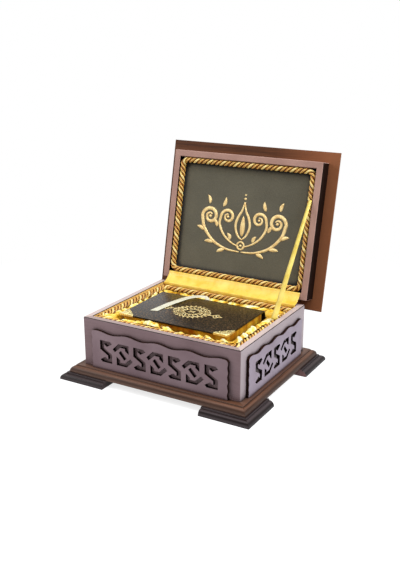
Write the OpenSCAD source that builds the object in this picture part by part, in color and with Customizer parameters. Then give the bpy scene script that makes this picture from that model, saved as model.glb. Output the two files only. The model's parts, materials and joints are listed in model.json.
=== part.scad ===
// Keepsake box for a bound book: a footed wooden box with fretwork sides, a satin bed,
// cord trim and a hinged lid that a ribbon holds open. Millimetres, +Z up, front towards -Y.
// The origin lies on the floor under the middle of the box body.

/* [Box body] */
// Outer width of the walls, side to side
box_w = 256; // [236:1:320]
// Outer depth of the walls, front to back
box_d = 208; // [186:1:260]
// Height of the walls above the base board
wall_h = 73; // [66:1:110]
// Thickness of the walls and of the lid rails
wall_t = 10; // [8:0.5:13]
// Chamfer on the rims and on the upright corners
arris = 0.8; // [0.3:0.1:2]

/* [Base and feet] */
// Thickness of the base board and of the lid board
board_t = 10.5; // [9.5:0.5:16]
// How far both boards stand out past the walls
board_overhang = 16.5; // [12:0.5:24]
// Radius of the rounded edge on both boards
board_round = 7.5; // [4:0.5:7.5]
// Height of the feet
foot_h = 10; // [9.5:0.5:20]
// Side of a foot in plan
foot_size = 76; // [60:1:84]
// How far a foot stands out past the base board
foot_overhang = 10.5; // [6:0.5:16]
// Radius of the rounded edges on a foot
foot_round = 7.5; // [4:0.5:7.5]
// Height of the small step above the rounded edges of the boards and the feet
moulding_step = 1.8; // [0.5:0.1:1.9]

/* [Fretwork] */
// Thickness of the fretwork boards
fret_t = 4; // [2:0.5:6]
// Distance from a box corner to the end of a fretwork board
fret_side_gap = 16.5; // [8:0.5:18]
// Distance from the box rim down to the fretwork's top edge
fret_top_gap = 16.5; // [10:0.5:20]
// Rise and fall of the wavy top edge
wave_amp = 1.7; // [0.5:0.1:2.5]
// Number of waves along the top edge
wave_count = 4.4; // [2:0.1:6]
// Depth of the ripples on the upright edges
ripple_depth = 1.2; // [0.4:0.1:2]
// Distance from ripple to ripple
ripple_pitch = 13; // [8:0.5:20]
// Corner radius of a fretwork board
fret_corner = 5; // [2:0.5:8]
// Distance from one S-shaped slot to the next
motif_pitch = 57.5; // [55:0.5:66]
// Height of the slots
motif_h = 33; // [28:0.5:36]
// Width of an S-shaped slot
motif_w = 20.4; // [18:0.2:22]
// Width of the level stretches of a slot
slot_bar = 5.2; // [3.5:0.1:6]
// Width of the upright stretches of a slot
slot_post = 7; // [4.5:0.1:7.5]
// How far the two tips of an S-shaped slot are cut off
tip_blunt = 3.2; // [1:0.1:4]

/* [Lining] */
// Diameter of the twisted cord trim
trim_d = 9; // [6:0.5:10]
// Depth of the cord below the box rim along the front
trim_drop = 0; // [0:0.5:5]
// How much lower the cord lies along the back of the box than along the front
trim_fall = 3; // [0:0.5:4]
// Bend radius of the cord at the corners
trim_bend = 8; // [6:0.5:14]
// Mean depth of the satin's crown below the box rim
satin_sink = 7; // [5:0.5:12]
// Height of a gather in the satin
gather_h = 3; // [1:0.5:4]
// Number of gathers along the front or the back
gathers_long = 9; // [6:1:9]
// Number of gathers along a side
gathers_short = 8; // [5:1:8]
// Room between the book and the bed all round
book_room = 3; // [2.8:0.1:6]
// Thickness of the satin that lines the recess
skirt_t = 1.2; // [0.8:0.1:1.4]

/* [Lid] */
// Depth of the lid frame from its rim to the lid board
lid_depth = 24; // [20:0.5:40]
// Gap between the two rims with the lid closed
seam_gap = 1; // [0.6:0.1:2]
// How far the lid stands open, counted from closed
lid_open_angle = 102; // [80:1:110]
// Depth of the panel below the lid rim
panel_recess = 9.5; // [8:0.5:12]
// Thickness of the panel
panel_t = 3; // [2:0.5:5]

/* [Hinges] */
// Length of a hinge
hinge_len = 38; // [30:1:60]
// Distance from the side of the box to the middle of a hinge
hinge_inset = 58; // [40:1:80]
// Outer diameter of a hinge knuckle
knuckle_d = 7; // [6:0.5:9]
// Gap between a knuckle and the wood
knuckle_gap = 0.5; // [0.3:0.1:1]
// Diameter of a hinge pin
pin_d = 3; // [2:0.1:4]
// Thickness of a hinge leaf
leaf_t = 1.2; // [0.8:0.1:2]
// Height of a hinge leaf
leaf_h = 14; // [12:0.5:18]

/* [Screws] */
// Diameter of the hinge screws
hinge_screw_d = 2.4; // [2:0.1:3]
// Depth of the hinge screws in the wood
hinge_screw_bite = 7; // [5:0.5:7.5]
// Diameter of the wood screws under the base
wood_screw_d = 3.5; // [3:0.1:4]
// Depth of the wood screws in the upper piece
wood_screw_bite = 7; // [5:0.5:8]
// How deep the heads of the wood screws are sunk
head_sink = 0.6; // [0.3:0.1:2]

/* [Ribbons] */
// Thickness of the satin hinge flap
flap_t = 0.4; // [0.3:0.1:0.4]
// Distance from the inside of the box to each end of the flap
flap_inset = 1.5; // [1:0.5:10]
// Width of the stay ribbon at its foot
stay_w_foot = 9; // [6:0.5:9]
// Width of the stay ribbon where it is gathered at the lid
stay_w_top = 5; // [3:0.5:6]
// Thickness of the stay ribbon
stay_t = 0.6; // [0.4:0.1:0.6]
// Distance of the stay's foot behind the middle of the box
stay_foot_y = 27.5; // [0:0.5:50]
// Distance of the stay's upper end before the middle of the lid
stay_top_y = 46; // [20:0.5:60]
// Width of the bookmark ribbon
bookmark_w = 9; // [6:0.5:12]
// Thickness of the bookmark ribbon
bookmark_t = 0.4; // [0.3:0.1:0.6]

/* [Book] */
// Length of the book's covers, head to tail
book_w = 178; // [150:1:184]
// Width of the book's covers, spine to fore-edge
book_l = 120; // [100:1:126]
// Thickness of the closed book
book_t = 27; // [20:0.5:36]
// Thickness of a cover
cover_t = 2.6; // [2:0.1:4]
// How far the covers stand past the pages
cover_square = 3.5; // [2.5:0.5:5]
// Depth of the front cover below the box rim
book_sink = 1.5; // [1:0.5:6]
// Offset of the book from the middle of the box, side to side
book_x = -4; // [-6:0.5:6]
// Offset of the book from the middle of the box, front to back
book_y = -1.5; // [-6:0.5:6]
// Bulge of the rounded spine
spine_bulge = 4; // [2.5:0.5:6]
// Thickness of the spine
spine_t = 2; // [1:0.1:2.4]
// Leg of a metal corner protector
protector_leg = 22; // [14:1:28]
// Thickness of the protector's metal
protector_t = 0.6; // [0.4:0.1:0.8]

/* [Fits] */
// Clearance between a soft or loose piece and its seat
fit_gap = 0.3; // [0.2:0.05:0.4]
// Radial clearance of a hinge pin in the turning knuckle
pin_clear = 0.05; // [0.02:0.01:0.1]
// Radial clearance of a pin or screw in the piece that holds it
hold_clear = 0.02; // [0.01:0.01:0.05]

/* [Hidden] */
$fn = 64;
overcut = 1;

base_w = box_w + 2 * board_overhang;
base_d = box_d + 2 * board_overhang;
inner_w = box_w - 2 * wall_t;
inner_d = box_d - 2 * wall_t;
board_top = foot_h + board_t;
rim_z = board_top + wall_h;

hinge_y = box_d / 2 + knuckle_d / 2 + knuckle_gap;
hinge_z = rim_z + seam_gap / 2;
hinge_x = box_w / 2 - hinge_inset;
lid_rim_z = rim_z + seam_gap;
lid_board_z = lid_rim_z + lid_depth;
panel_z = lid_rim_z + panel_recess;

trim_off = trim_d / 2 + fit_gap;
trim_z = rim_z - trim_drop - trim_d / 2;
trim_run = inner_d - 2 * trim_off;
trim_tilt = asin(trim_fall / trim_run);
lid_trim_z = panel_z - fit_gap - trim_d / 2;

cover_top = rim_z - book_sink;
cover_low = cover_top - book_t;
bed_floor = cover_low - protector_t - fit_gap;
recess_w = book_w + 2 * book_room;
recess_d = book_l + 2 * book_room;
flange_z = trim_z - trim_d / 2 - fit_gap;
flange_t = 4.4;
foam_top = flange_z - flange_t - fit_gap;
crown_z = rim_z - satin_sink;

WALNUT = [0.36, 0.24, 0.19];
PLUM = [0.47, 0.37, 0.37];
DARK_WOOD = [0.25, 0.21, 0.19];
SATIN = [0.93, 0.79, 0.36];
CORD = [0.78, 0.55, 0.22];
BRASS = [0.80, 0.66, 0.36];
LEATHER = [0.13, 0.12, 0.11];
GILT = [0.85, 0.66, 0.22];
FELT = [0.31, 0.30, 0.26];
CREAM = [0.95, 0.93, 0.84];
FOAM = [0.88, 0.84, 0.74];

// Carries a piece of the closed lid to where it stands open
module opened() {
    translate([0, hinge_y, hinge_z])
        rotate([-lid_open_angle, 0, 0])
            translate([0, -hinge_y, -hinge_z])
                children();
}

// The same for a point given as depth and height
function opened_yz(p) =
    let (y = p[0] - hinge_y, z = p[1] - hinge_z, c = cos(lid_open_angle), s = sin(lid_open_angle))
    [hinge_y + y * c + z * s, hinge_z - y * s + z * c];

function mix(a, b, t) = a + (b - a) * t;

// Outlines and cutters that several pieces share

// Cuts a 45 degree chamfer along an edge that runs in X through the origin
module arris_cut(length) {
    rotate([45, 0, 0])
        cube([length + 2 * overcut, arris * sqrt(2), arris * sqrt(2)], center = true);
}

// Moulds the edge that runs in X at the origin, on a solid that lies behind and below it:
// a small step down, then a quarter round
module round_cut(length, radius) {
    rotate([90, 0, 90])
        linear_extrude(length + 2 * overcut, center = true)
            difference() {
                translate([-overcut, -radius - moulding_step])
                    square([radius + overcut, radius + moulding_step + overcut]);
                translate([radius, -radius - moulding_step])
                    circle(radius);
            }
}

// A bar with mitred ends: outer face on y = 0, chamfered along the rim at rim_at
module mitred_bar(length, height, rim_at) {
    half = length / 2;
    difference() {
        linear_extrude(height)
            polygon([[arris - half, 0], [half - arris, 0], [half - arris / 2, arris / 2],
                [half - wall_t, wall_t], [wall_t - half, wall_t], [arris / 2 - half, arris / 2]]);
        for (y = [0, wall_t])
            translate([0, y, rim_at])
                arris_cut(length);
    }
}

// A board with all four upper edges moulded
module moulded_board() {
    difference() {
        translate([-base_w / 2, -base_d / 2, 0])
            cube([base_w, base_d, board_t]);
        for (turn = [0, 180])
            rotate([0, 0, turn]) {
                translate([0, -base_d / 2, board_t])
                    round_cut(base_w, board_round);
                rotate([0, 0, 90])
                    translate([0, -base_w / 2, board_t])
                        round_cut(base_d, board_round);
            }
    }
}

// A rectangular loop of cord, level at z = 0
module cord_loop(w, d) {
    straight_w = w - 2 * trim_bend;
    straight_d = d - 2 * trim_bend;
    for (side = [-1, 1]) {
        translate([0, side * d / 2, 0])
            rotate([0, 90, 0])
                cylinder(d = trim_d, h = straight_w, center = true);
        translate([side * w / 2, 0, 0])
            rotate([90, 0, 0])
                cylinder(d = trim_d, h = straight_d, center = true);
    }
    for (corner = [[1, 1, 0], [-1, 1, 90], [-1, -1, 180], [1, -1, 270]])
        translate([corner[0] * straight_w / 2, corner[1] * straight_d / 2, 0])
            rotate([0, 0, corner[2]])
                rotate_extrude(angle = 90)
                    translate([trim_bend, 0])
                        circle(d = trim_d);
}

// Wood screws: a shank that points up from the origin, with a countersunk head below it
wood_head_d = 2 * wood_screw_d;
wood_head_h = wood_screw_d / 2;

module wood_screw(length) {
    cylinder(d = wood_screw_d, h = length);
    cylinder(d1 = wood_head_d, d2 = wood_screw_d, h = wood_head_h);
}

module wood_screw_hole(length) {
    cylinder(d = wood_screw_d + 2 * hold_clear, h = length + fit_gap);
    cylinder(d1 = wood_head_d + 2 * hold_clear, d2 = wood_screw_d + 2 * hold_clear, h = wood_head_h);
    translate([0, 0, -head_sink - overcut])
        cylinder(d = wood_head_d + 2 * hold_clear, h = head_sink + overcut);
}

// Base screws run up through the base board into the middle of each wall
base_screw_len = board_t + wood_screw_bite - head_sink;
base_screw_share = 0.235;
BASE_SCREW_AT = [for (side = [-1, 1], step = [-1, 1])
    each [[step * base_screw_share * box_w, side * (box_d - wall_t) / 2],
        [side * (box_w - wall_t) / 2, step * base_screw_share * inner_d]]];

module at_base_screws() {
    for (p = BASE_SCREW_AT)
        translate([p[0], p[1], foot_h + head_sink])
            children();
}

// Foot screws run up through each foot into the base board
foot_screw_len = foot_h + wood_screw_bite - head_sink;
foot_x = base_w / 2 + foot_overhang - foot_size / 2;
foot_y = base_d / 2 + foot_overhang - foot_size / 2;
foot_screw_step = foot_size / 4;

module at_foot_screws(sx, sy) {
    for (step = [-foot_screw_step, foot_screw_step])
        translate([sx * foot_x + step, sy * foot_y - sx * sy * step, head_sink])
            children();
}

// Base and feet

module base_board() {
    color(WALNUT)
        difference() {
            translate([0, 0, foot_h])
                moulded_board();
            at_base_screws()
                wood_screw_hole(base_screw_len);
            for (sx = [-1, 1], sy = [-1, 1])
                at_foot_screws(sx, sy)
                    wood_screw_hole(foot_screw_len);
        }
}

// One foot: moulded on the two edges that face outwards
module foot(sx, sy) {
    color(DARK_WOOD)
        difference() {
            translate([sx * foot_x - foot_size / 2, sy * foot_y - foot_size / 2, 0])
                cube([foot_size, foot_size, foot_h]);
            translate([sx * foot_x, sy * (foot_y + foot_size / 2), foot_h])
                rotate([0, 0, sy < 0 ? 0 : 180])
                    round_cut(foot_size, foot_round);
            translate([sx * (foot_x + foot_size / 2), sy * foot_y, foot_h])
                rotate([0, 0, sx < 0 ? 270 : 90])
                    round_cut(foot_size, foot_round);
            at_foot_screws(sx, sy)
                wood_screw_hole(foot_screw_len);
        }
}

module foot_front_left() { foot(-1, -1); }
module foot_front_right() { foot(1, -1); }
module foot_back_left() { foot(-1, 1); }
module foot_back_right() { foot(1, 1); }

module base_screws() {
    color(BRASS)
        at_base_screws()
            wood_screw(base_screw_len);
}

module foot_screws() {
    color(BRASS)
        for (sx = [-1, 1], sy = [-1, 1])
            at_foot_screws(sx, sy)
                wood_screw(foot_screw_len);
}

// Walls

module wall(length, offset, turn) {
    rotate([0, 0, turn])
        translate([0, -offset, board_top])
            mitred_bar(length, wall_h, wall_h);
}

module drilled_wall(length, offset, turn) {
    color(PLUM)
        difference() {
            wall(length, offset, turn);
            at_base_screws()
                wood_screw_hole(base_screw_len);
            children();
        }
}

module front_wall() { drilled_wall(box_w, box_d / 2, 0); }
module right_wall() { drilled_wall(box_d, box_w / 2, 90); }
module left_wall() { drilled_wall(box_d, box_w / 2, 270); }

module back_wall() {
    drilled_wall(box_w, box_d / 2, 180)
        both_hinges()
            leaf_screw_holes();
}

// Fretwork

// Half of the S-shaped slot: the other half is the same outline turned half round
half_w = motif_w / 2;
half_h = motif_h / 2;
tip_back = 8.6;
tip_drop = 8.5;
slant_rise = 5.2;
slant_fall = 2.6;
S_HALF = [[-half_w, half_h], [half_w - tip_blunt, half_h], [half_w, half_h - tip_blunt],
    [half_w - tip_back, half_h - tip_drop], [slot_post - half_w, half_h - slot_bar],
    [slot_post - half_w, slant_rise], [half_w, -slant_fall]];

// The hooked slot above the short bar of the ring motif
hook_w = 10.6;
hook_lead = 6.5;
hook_reach = 17;
hook_end = 6.5;
hook_cut = 3.7;
hook_shoulder = 3.8;
hook_leg = 6.2;
leg_out = 3.5;
leg_in = 8;
HOOK = [[-hook_reach, hook_end], [-hook_lead, half_h], [hook_w, half_h], [hook_w, leg_out],
    [hook_w - hook_leg, leg_in], [hook_w - hook_leg, half_h - slot_bar],
    [-hook_shoulder, half_h - slot_bar], [hook_cut - hook_reach, hook_end - hook_cut]];

// The short slanting bar in the middle of the ring motif
bar_end = [6.6, -3.2];
bar_side = [2.6, -7];
RING_BAR = [bar_end, bar_side, -bar_end, -bar_side];

function turned(points) = [for (p = points) -p];

module s_slot() {
    polygon(concat(S_HALF, turned(S_HALF)));
}

module ring_slots() {
    polygon(HOOK);
    polygon(turned(HOOK));
    polygon(RING_BAR);
}

// Outline of a fretwork board: level foot, rippled ends, rounded corners, wavy top
fret_h = wall_h - fret_top_gap;
wave_steps = 44;
ripple_steps = 6;
corner_steps = 5;

function fret_top(u, half) = fret_h + wave_amp * cos(180 * wave_count * u / half);

function fret_side(half) =
    let (bend = half - fret_corner,
        shoulder = fret_top(bend, half) - fret_corner,
        ripples = round(shoulder / ripple_pitch),
        steps = ripples * ripple_steps)
    concat([for (i = [0:steps])
            [half - ripple_depth * (1 - cos(360 * ripples * i / steps)) / 2, shoulder * i / steps]],
        [for (i = [1:corner_steps - 1])
            let (a = 90 * i / corner_steps)
            [bend + fret_corner * cos(a), shoulder + fret_corner * sin(a)]]);

function reversed(points) = [for (i = [len(points) - 1:-1:0]) points[i]];
function flipped(points) = [for (p = points) [-p[0], p[1]]];

function fret_outline(half) =
    let (bend = half - fret_corner)
    concat(fret_side(half),
        [for (i = [0:wave_steps])
            let (u = mix(bend, -bend, i / wave_steps)) [u, fret_top(u, half)]],
        reversed(flipped(fret_side(half))));

// A fretwork board for a wall of this length: back face on y = 0, foot on z = 0
module fretwork(length) {
    half = length / 2 - fret_side_gap;
    border = 12;
    gaps = floor((2 * half - motif_w - 2 * border) / motif_pitch);
    row = gaps * motif_pitch;
    color(PLUM)
        rotate([90, 0, 0])
            linear_extrude(fret_t)
                difference() {
                    polygon(fret_outline(half));
                    for (i = [0:gaps])
                        translate([i * motif_pitch - row / 2, fret_h / 2])
                            s_slot();
                    for (i = [1:gaps])
                        translate([(i - 0.5) * motif_pitch - row / 2, fret_h / 2])
                            ring_slots();
                }
}

module front_fretwork() {
    translate([0, -box_d / 2, board_top])
        fretwork(box_w);
}

module right_fretwork() {
    translate([box_w / 2, 0, board_top])
        rotate([0, 0, 90])
            fretwork(box_d);
}

module left_fretwork() {
    translate([-box_w / 2, 0, board_top])
        rotate([0, 0, 270])
            fretwork(box_d);
}

// Bed, satin and cord

module foam_bed() {
    color(FOAM)
        difference() {
            translate([fit_gap - inner_w / 2, fit_gap - inner_d / 2, board_top])
                cube([inner_w - 2 * fit_gap, inner_d - 2 * fit_gap, foam_top - board_top]);
            translate([book_x - recess_w / 2, book_y - recess_d / 2, bed_floor])
                cube([recess_w, recess_d, foam_top - bed_floor + overcut]);
        }
}

// The satin lies between nested rectangles: the walls, the inside of the cord and the recess.
// A rectangle is [width, depth, middle x, middle y]; a station is [side, share of that side].
WALL_RECT = [inner_w - 2 * fit_gap, inner_d - 2 * fit_gap, 0, 0];
TRIM_RECT = [inner_w - 2 * (trim_d + 2 * fit_gap), inner_d - 2 * (trim_d + 2 * fit_gap), 0, 0];
LINED_RECT = [recess_w - 2 * fit_gap, recess_d - 2 * fit_gap, book_x, book_y];
SKIRT_RECT = [LINED_RECT[0] - 2 * skirt_t, LINED_RECT[1] - 2 * skirt_t, book_x, book_y];

steps_per_gather = 4;
function gathers(side) = side % 2 == 0 ? gathers_long : gathers_short;
STATIONS = [for (side = [0:3], i = [0:gathers(side) * steps_per_gather - 1])
    [side, i / (gathers(side) * steps_per_gather)]];

CORNER_SIGNS = [[-1, -1], [1, -1], [1, 1], [-1, 1]];
function rect_corner(r, k) =
    let (s = CORNER_SIGNS[k % 4]) [r[2] + s[0] * r[0] / 2, r[3] + s[1] * r[1] / 2];
function on_rect(r, st) = mix(rect_corner(r, st[0]), rect_corner(r, st[0] + 1), st[1]);
function lifted(p, z) = [p[0], p[1], z];

// How far the sloping cord has fallen at a given depth
function cord_fall(y) = trim_fall * (y / trim_run + 0.5);

// Gathers swell between the corners, every other one a little less
gather_change = 0.3;
function gather(st) =
    let (turns = gathers(st[0]) * st[1])
    gather_h * (0.5 - 0.5 * cos(360 * turns)) * (1 - gather_change * (floor(turns) % 2));

outer_crown = 0.3;
inner_crown = 0.72;
crown_fall = 1.5;
shoulder_fall = 5;

function satin_profile(st) =
    let (wall_p = on_rect(WALL_RECT, st),
        trim_p = on_rect(TRIM_RECT, st),
        skirt_p = on_rect(SKIRT_RECT, st),
        lined_p = on_rect(LINED_RECT, st),
        lift = gather(st))
    [lifted(wall_p, foam_top + fit_gap),
        lifted(wall_p, flange_z - cord_fall(wall_p[1])),
        lifted(trim_p, flange_z + fit_gap - cord_fall(trim_p[1])),
        lifted(mix(trim_p, skirt_p, outer_crown), crown_z + lift),
        lifted(mix(trim_p, skirt_p, inner_crown), crown_z - crown_fall + lift),
        lifted(skirt_p, crown_z - shoulder_fall),
        lifted(skirt_p, bed_floor + fit_gap),
        lifted(lined_p, bed_floor + fit_gap),
        lifted(lined_p, foam_top + fit_gap)];

module satin_surround() {
    n = len(STATIONS);
    m = len(satin_profile(STATIONS[0]));
    points = [for (st = STATIONS) each satin_profile(st)];
    faces = [for (i = [0:n - 1], j = [0:m - 1])
        let (a = i * m + j, b = i * m + (j + 1) % m,
            c = ((i + 1) % n) * m + (j + 1) % m, d = ((i + 1) % n) * m + j)
        each [[a, b, c], [a, c, d]]];
    color(SATIN)
        polyhedron(points, faces);
}

module box_cord_trim() {
    color(CORD)
        translate([0, -trim_run / 2, trim_z])
            rotate([-trim_tilt, 0, 0])
                translate([0, trim_run / 2, 0])
                    cord_loop(inner_w - 2 * trim_off, trim_run);
}

// Hinges, drawn with the axis along X through the origin and the leaf hanging down

knuckle_space = 0.3;
knuckle_len = (hinge_len - 2 * knuckle_space) / 3;
knuckle_step = knuckle_len + knuckle_space;
leaf_back = -knuckle_d / 2 - knuckle_gap;
leaf_front = leaf_back + leaf_t;
leaf_screw_across = 0.3;
leaf_screw_down = 0.64;
leaf_screw_x = hinge_len * leaf_screw_across;
leaf_screw_z = leaf_h * leaf_screw_down;
pin_head_rim = 0.7;
pin_head_d = pin_d + 2 * pin_head_rim;
pin_head_h = 0.8;

module along_x(length, diameter) {
    rotate([0, 90, 0])
        cylinder(d = diameter, h = length, center = true);
}

module at_leaf_screws() {
    for (side = [-1, 1])
        translate([side * leaf_screw_x, leaf_front, -leaf_screw_z])
            rotate([90, 0, 0])
                children();
}

module leaf_screw_holes() {
    at_leaf_screws()
        translate([0, 0, -overcut])
            cylinder(d = hinge_screw_d + 2 * hold_clear, h = leaf_t + hinge_screw_bite + fit_gap + overcut);
}

// Proportions of a hinge screw's head to its shank
head_width_share = 1.9;
head_height_share = 0.4;
slot_width_share = 0.25;
leaf_head_d = head_width_share * hinge_screw_d;
leaf_head_h = head_height_share * hinge_screw_d;
slot_w = slot_width_share * hinge_screw_d;

module leaf_screws() {
    at_leaf_screws() {
        cylinder(d = hinge_screw_d, h = leaf_t + hinge_screw_bite);
        difference() {
            translate([0, 0, -leaf_head_h])
                cylinder(d = leaf_head_d, h = leaf_head_h);
            translate([0, 0, -leaf_head_h])
                cube([leaf_head_d + overcut, slot_w, leaf_head_h], center = true);
        }
    }
}

// own and other list the knuckles of this leaf and of its partner, counted from the middle
module leaf(own, other, bore_clear) {
    notch = [knuckle_len + 2 * knuckle_space, 2 * leaf_h, knuckle_d + 2 * fit_gap];
    color(BRASS)
        difference() {
            union() {
                translate([-hinge_len / 2, leaf_back, -leaf_h])
                    cube([hinge_len, leaf_t, leaf_h]);
                for (k = own)
                    translate([k * knuckle_step, 0, 0])
                        along_x(knuckle_len, knuckle_d);
            }
            for (k = other)
                translate([k * knuckle_step, 0, 0])
                    cube(notch, center = true);
            along_x(hinge_len + 2 * overcut, pin_d + 2 * bore_clear);
            leaf_screw_holes();
        }
}

module at_hinge(side) {
    translate([side * hinge_x, hinge_y, hinge_z])
        children();
}

module both_hinges() {
    for (side = [-1, 1])
        at_hinge(side)
            children();
}

// Turns a hanging leaf up against the closed lid's back rail
module upturned() {
    mirror([0, 0, 1])
        children();
}

module box_leaf(side) {
    at_hinge(side)
        leaf([-1, 1], [0], hold_clear);
}

module lid_leaf(side) {
    opened()
        at_hinge(side)
            upturned()
                leaf([0], [-1, 1], pin_clear);
}

module hinge_pin(side) {
    color(BRASS)
        at_hinge(side) {
            along_x(hinge_len + 2 * fit_gap, pin_d);
            for (end = [-1, 1])
                translate([end * (hinge_len / 2 + fit_gap + pin_head_h / 2), 0, 0])
                    along_x(pin_head_h, pin_head_d);
        }
}

module hinge_leaf_box_left() { box_leaf(-1); }
module hinge_leaf_box_right() { box_leaf(1); }
module hinge_leaf_lid_left() { lid_leaf(-1); }
module hinge_leaf_lid_right() { lid_leaf(1); }
module hinge_pin_left() { hinge_pin(-1); }
module hinge_pin_right() { hinge_pin(1); }

module hinge_screws_box() {
    color(BRASS)
        both_hinges()
            leaf_screws();
}

module hinge_screws_lid() {
    color(BRASS)
        opened()
            both_hinges()
                upturned()
                    leaf_screws();
}

// Hinge flap: tucked in above the box cord, over the rim, across the gap and into the lid

flap_lift = 0.45;
flap_tuck = 1.3;
flap_steps = 14;
flap_set_back = 0.2;
flap_turn_in = 2.5;
flap_edge = inner_d / 2 + flap_set_back;
flap_turn = box_d / 2 - flap_turn_in;
FLAP_TAIL = [inner_d / 2 - flap_lift, rim_z - trim_drop - trim_fall - flap_tuck];
FLAP_CORNER = [inner_d / 2 - flap_lift, rim_z + flap_lift];
FLAP_TAIL_LID = opened_yz([inner_d / 2 - flap_lift, lid_rim_z + flap_tuck]);
FLAP_START = [flap_edge, rim_z + flap_lift];
FLAP_END = opened_yz([flap_edge, lid_rim_z - flap_lift]);
FLAP_PULL = [flap_turn, rim_z + 2 * flap_lift];
FLAP_PULL_LID = opened_yz([flap_turn, lid_rim_z - 2 * flap_lift]);

function bezier(a, b, c, d, t) =
    a * pow(1 - t, 3) + b * 3 * t * pow(1 - t, 2) + c * 3 * t * t * (1 - t) + d * pow(t, 3);

FLAP_LINE = concat([FLAP_TAIL, FLAP_CORNER],
    [for (i = [0:flap_steps]) bezier(FLAP_START, FLAP_PULL, FLAP_PULL_LID, FLAP_END, i / flap_steps)],
    [FLAP_TAIL_LID]);

// A line thickened to both sides, as one closed outline
function side_step(line, i, half) =
    let (a = line[max(i - 1, 0)], b = line[min(i + 1, len(line) - 1)], d = (b - a) / norm(b - a))
    [-d[1] * half, d[0] * half];
function band(line, half) =
    concat([for (i = [0:len(line) - 1]) line[i] + side_step(line, i, half)],
        reversed([for (i = [0:len(line) - 1]) line[i] - side_step(line, i, half)]));

module hinge_flap() {
    color(SATIN)
        rotate([90, 0, 90])
            linear_extrude(inner_w - 2 * flap_inset, center = true)
                polygon(band(FLAP_LINE, flap_t / 2));
}

// Lid stay: a straight taut ribbon from the cord on the right wall up to the lid's right rail

stay_clear = 0.6;
STAY_TOP_YZ = opened_yz([-stay_top_y, lid_rim_z - stay_clear]);
stay_foot_z = trim_z + trim_d / 2 + stay_clear - cord_fall(stay_foot_y);
STAY_FOOT = [inner_w / 2 - stay_clear - stay_w_foot / 2, stay_foot_y, stay_foot_z];
STAY_TOP = [inner_w / 2 - stay_clear - stay_w_top / 2, STAY_TOP_YZ[0], STAY_TOP_YZ[1]];

// Four corners of the ribbon's section at a point: u lies across it and n through it
function stay_ring(p, w) =
    let (run = STAY_TOP - STAY_FOOT,
        n = [0, -run[2], run[1]] / norm([run[1], run[2]]) * stay_t / 2,
        u = [w / 2, 0, 0])
    [p - u - n, p + u - n, p + u + n, p - u + n];

module lid_stay_ribbon() {
    color(SATIN)
        polyhedron(concat(stay_ring(STAY_FOOT, stay_w_foot), stay_ring(STAY_TOP, stay_w_top)),
            concat([[0, 2, 1], [0, 3, 2], [4, 5, 6], [4, 6, 7]],
                [for (i = [0:3])
                    let (j = (i + 1) % 4)
                    each [[i, j, 4 + j], [i, 4 + j, 4 + i]]]));
}

// Lid

module lid_board() {
    color(WALNUT)
        opened()
            translate([0, 0, lid_board_z])
                moulded_board();
}

module lid_rail(length, offset, turn) {
    rotate([0, 0, turn])
        translate([0, -offset, lid_rim_z])
            mitred_bar(length, lid_depth, 0);
}

module lid_front_rail() {
    color(PLUM)
        opened()
            lid_rail(box_w, box_d / 2, 0);
}

module lid_back_rail() {
    color(PLUM)
        opened()
            difference() {
                lid_rail(box_w, box_d / 2, 180);
                both_hinges()
                    upturned()
                        leaf_screw_holes();
            }
}

module lid_left_rail() {
    color(PLUM)
        opened()
            lid_rail(box_d, box_w / 2, 270);
}

module lid_right_rail() {
    color(PLUM)
        opened()
            lid_rail(box_d, box_w / 2, 90);
}

// A sheet that fills the lid frame between two heights
module lid_filler(low, high) {
    opened()
        translate([fit_gap - inner_w / 2, fit_gap - inner_d / 2, low])
            cube([inner_w - 2 * fit_gap, inner_d - 2 * fit_gap, high - low]);
}

module lid_panel() {
    color(FELT)
        lid_filler(panel_z, panel_z + panel_t);
}

module lid_padding() {
    color(FOAM)
        lid_filler(panel_z + panel_t, lid_board_z);
}

module lid_cord_trim() {
    color(CORD)
        opened()
            translate([0, 0, lid_trim_z])
                cord_loop(inner_w - 2 * trim_off, trim_run);
}

// Book: spine at the back, fore-edge to the front, lying on its back cover

spine_joint = 7;
book_back = book_y + book_l / 2;
book_front = book_y - book_l / 2;
board_l = book_l - spine_joint;
pages_t = book_t - 2 * cover_t;

// The spine is a slice of a tube whose bulge sets its radius, and the pages end short of it
spine_half = book_t / 2;
spine_r = (spine_half * spine_half + spine_bulge * spine_bulge) / (2 * spine_bulge);
spine_axis = book_back - spine_r;
spine_inside = spine_axis + sqrt(pow(spine_r - spine_t, 2) - pow(pages_t / 2, 2));
endband_d = 2.4;
pages_back = spine_inside - endband_d - 2 * fit_gap;

module cover(low) {
    color(LEATHER)
        translate([book_x - book_w / 2, book_front, low])
            cube([book_w, board_l, cover_t]);
}

module book_front_cover() { cover(cover_top - cover_t); }
module book_back_cover() { cover(cover_low); }

// The block of pages, grown all round by a clearance where another piece is cut to it
module pages(grow) {
    pages_w = book_w - 2 * cover_square;
    pages_front = book_front + cover_square;
    translate([book_x - pages_w / 2 - grow, pages_front - grow, cover_low + cover_t])
        cube([pages_w + 2 * grow, pages_back - pages_front + 2 * grow, pages_t]);
}

module text_block() {
    color(GILT)
        pages(0);
}

module book_spine() {
    color(LEATHER)
        translate([book_x - book_w / 2, 0, 0])
            rotate([90, 0, 90])
                linear_extrude(book_w)
                    intersection() {
                        translate([spine_axis, (cover_top + cover_low) / 2])
                            difference() {
                                circle(spine_r);
                                circle(spine_r - spine_t);
                            }
                        translate([book_front + board_l + fit_gap, cover_low])
                            square([book_l, book_t]);
                    }
}

module endbands() {
    color(CREAM)
        for (side = [-1, 1])
            translate([book_x + side * (book_w / 2 - cover_square - endband_d / 2),
                    pages_back + fit_gap + endband_d / 2, cover_low + cover_t])
                cylinder(d = endband_d, h = pages_t);
}

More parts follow.
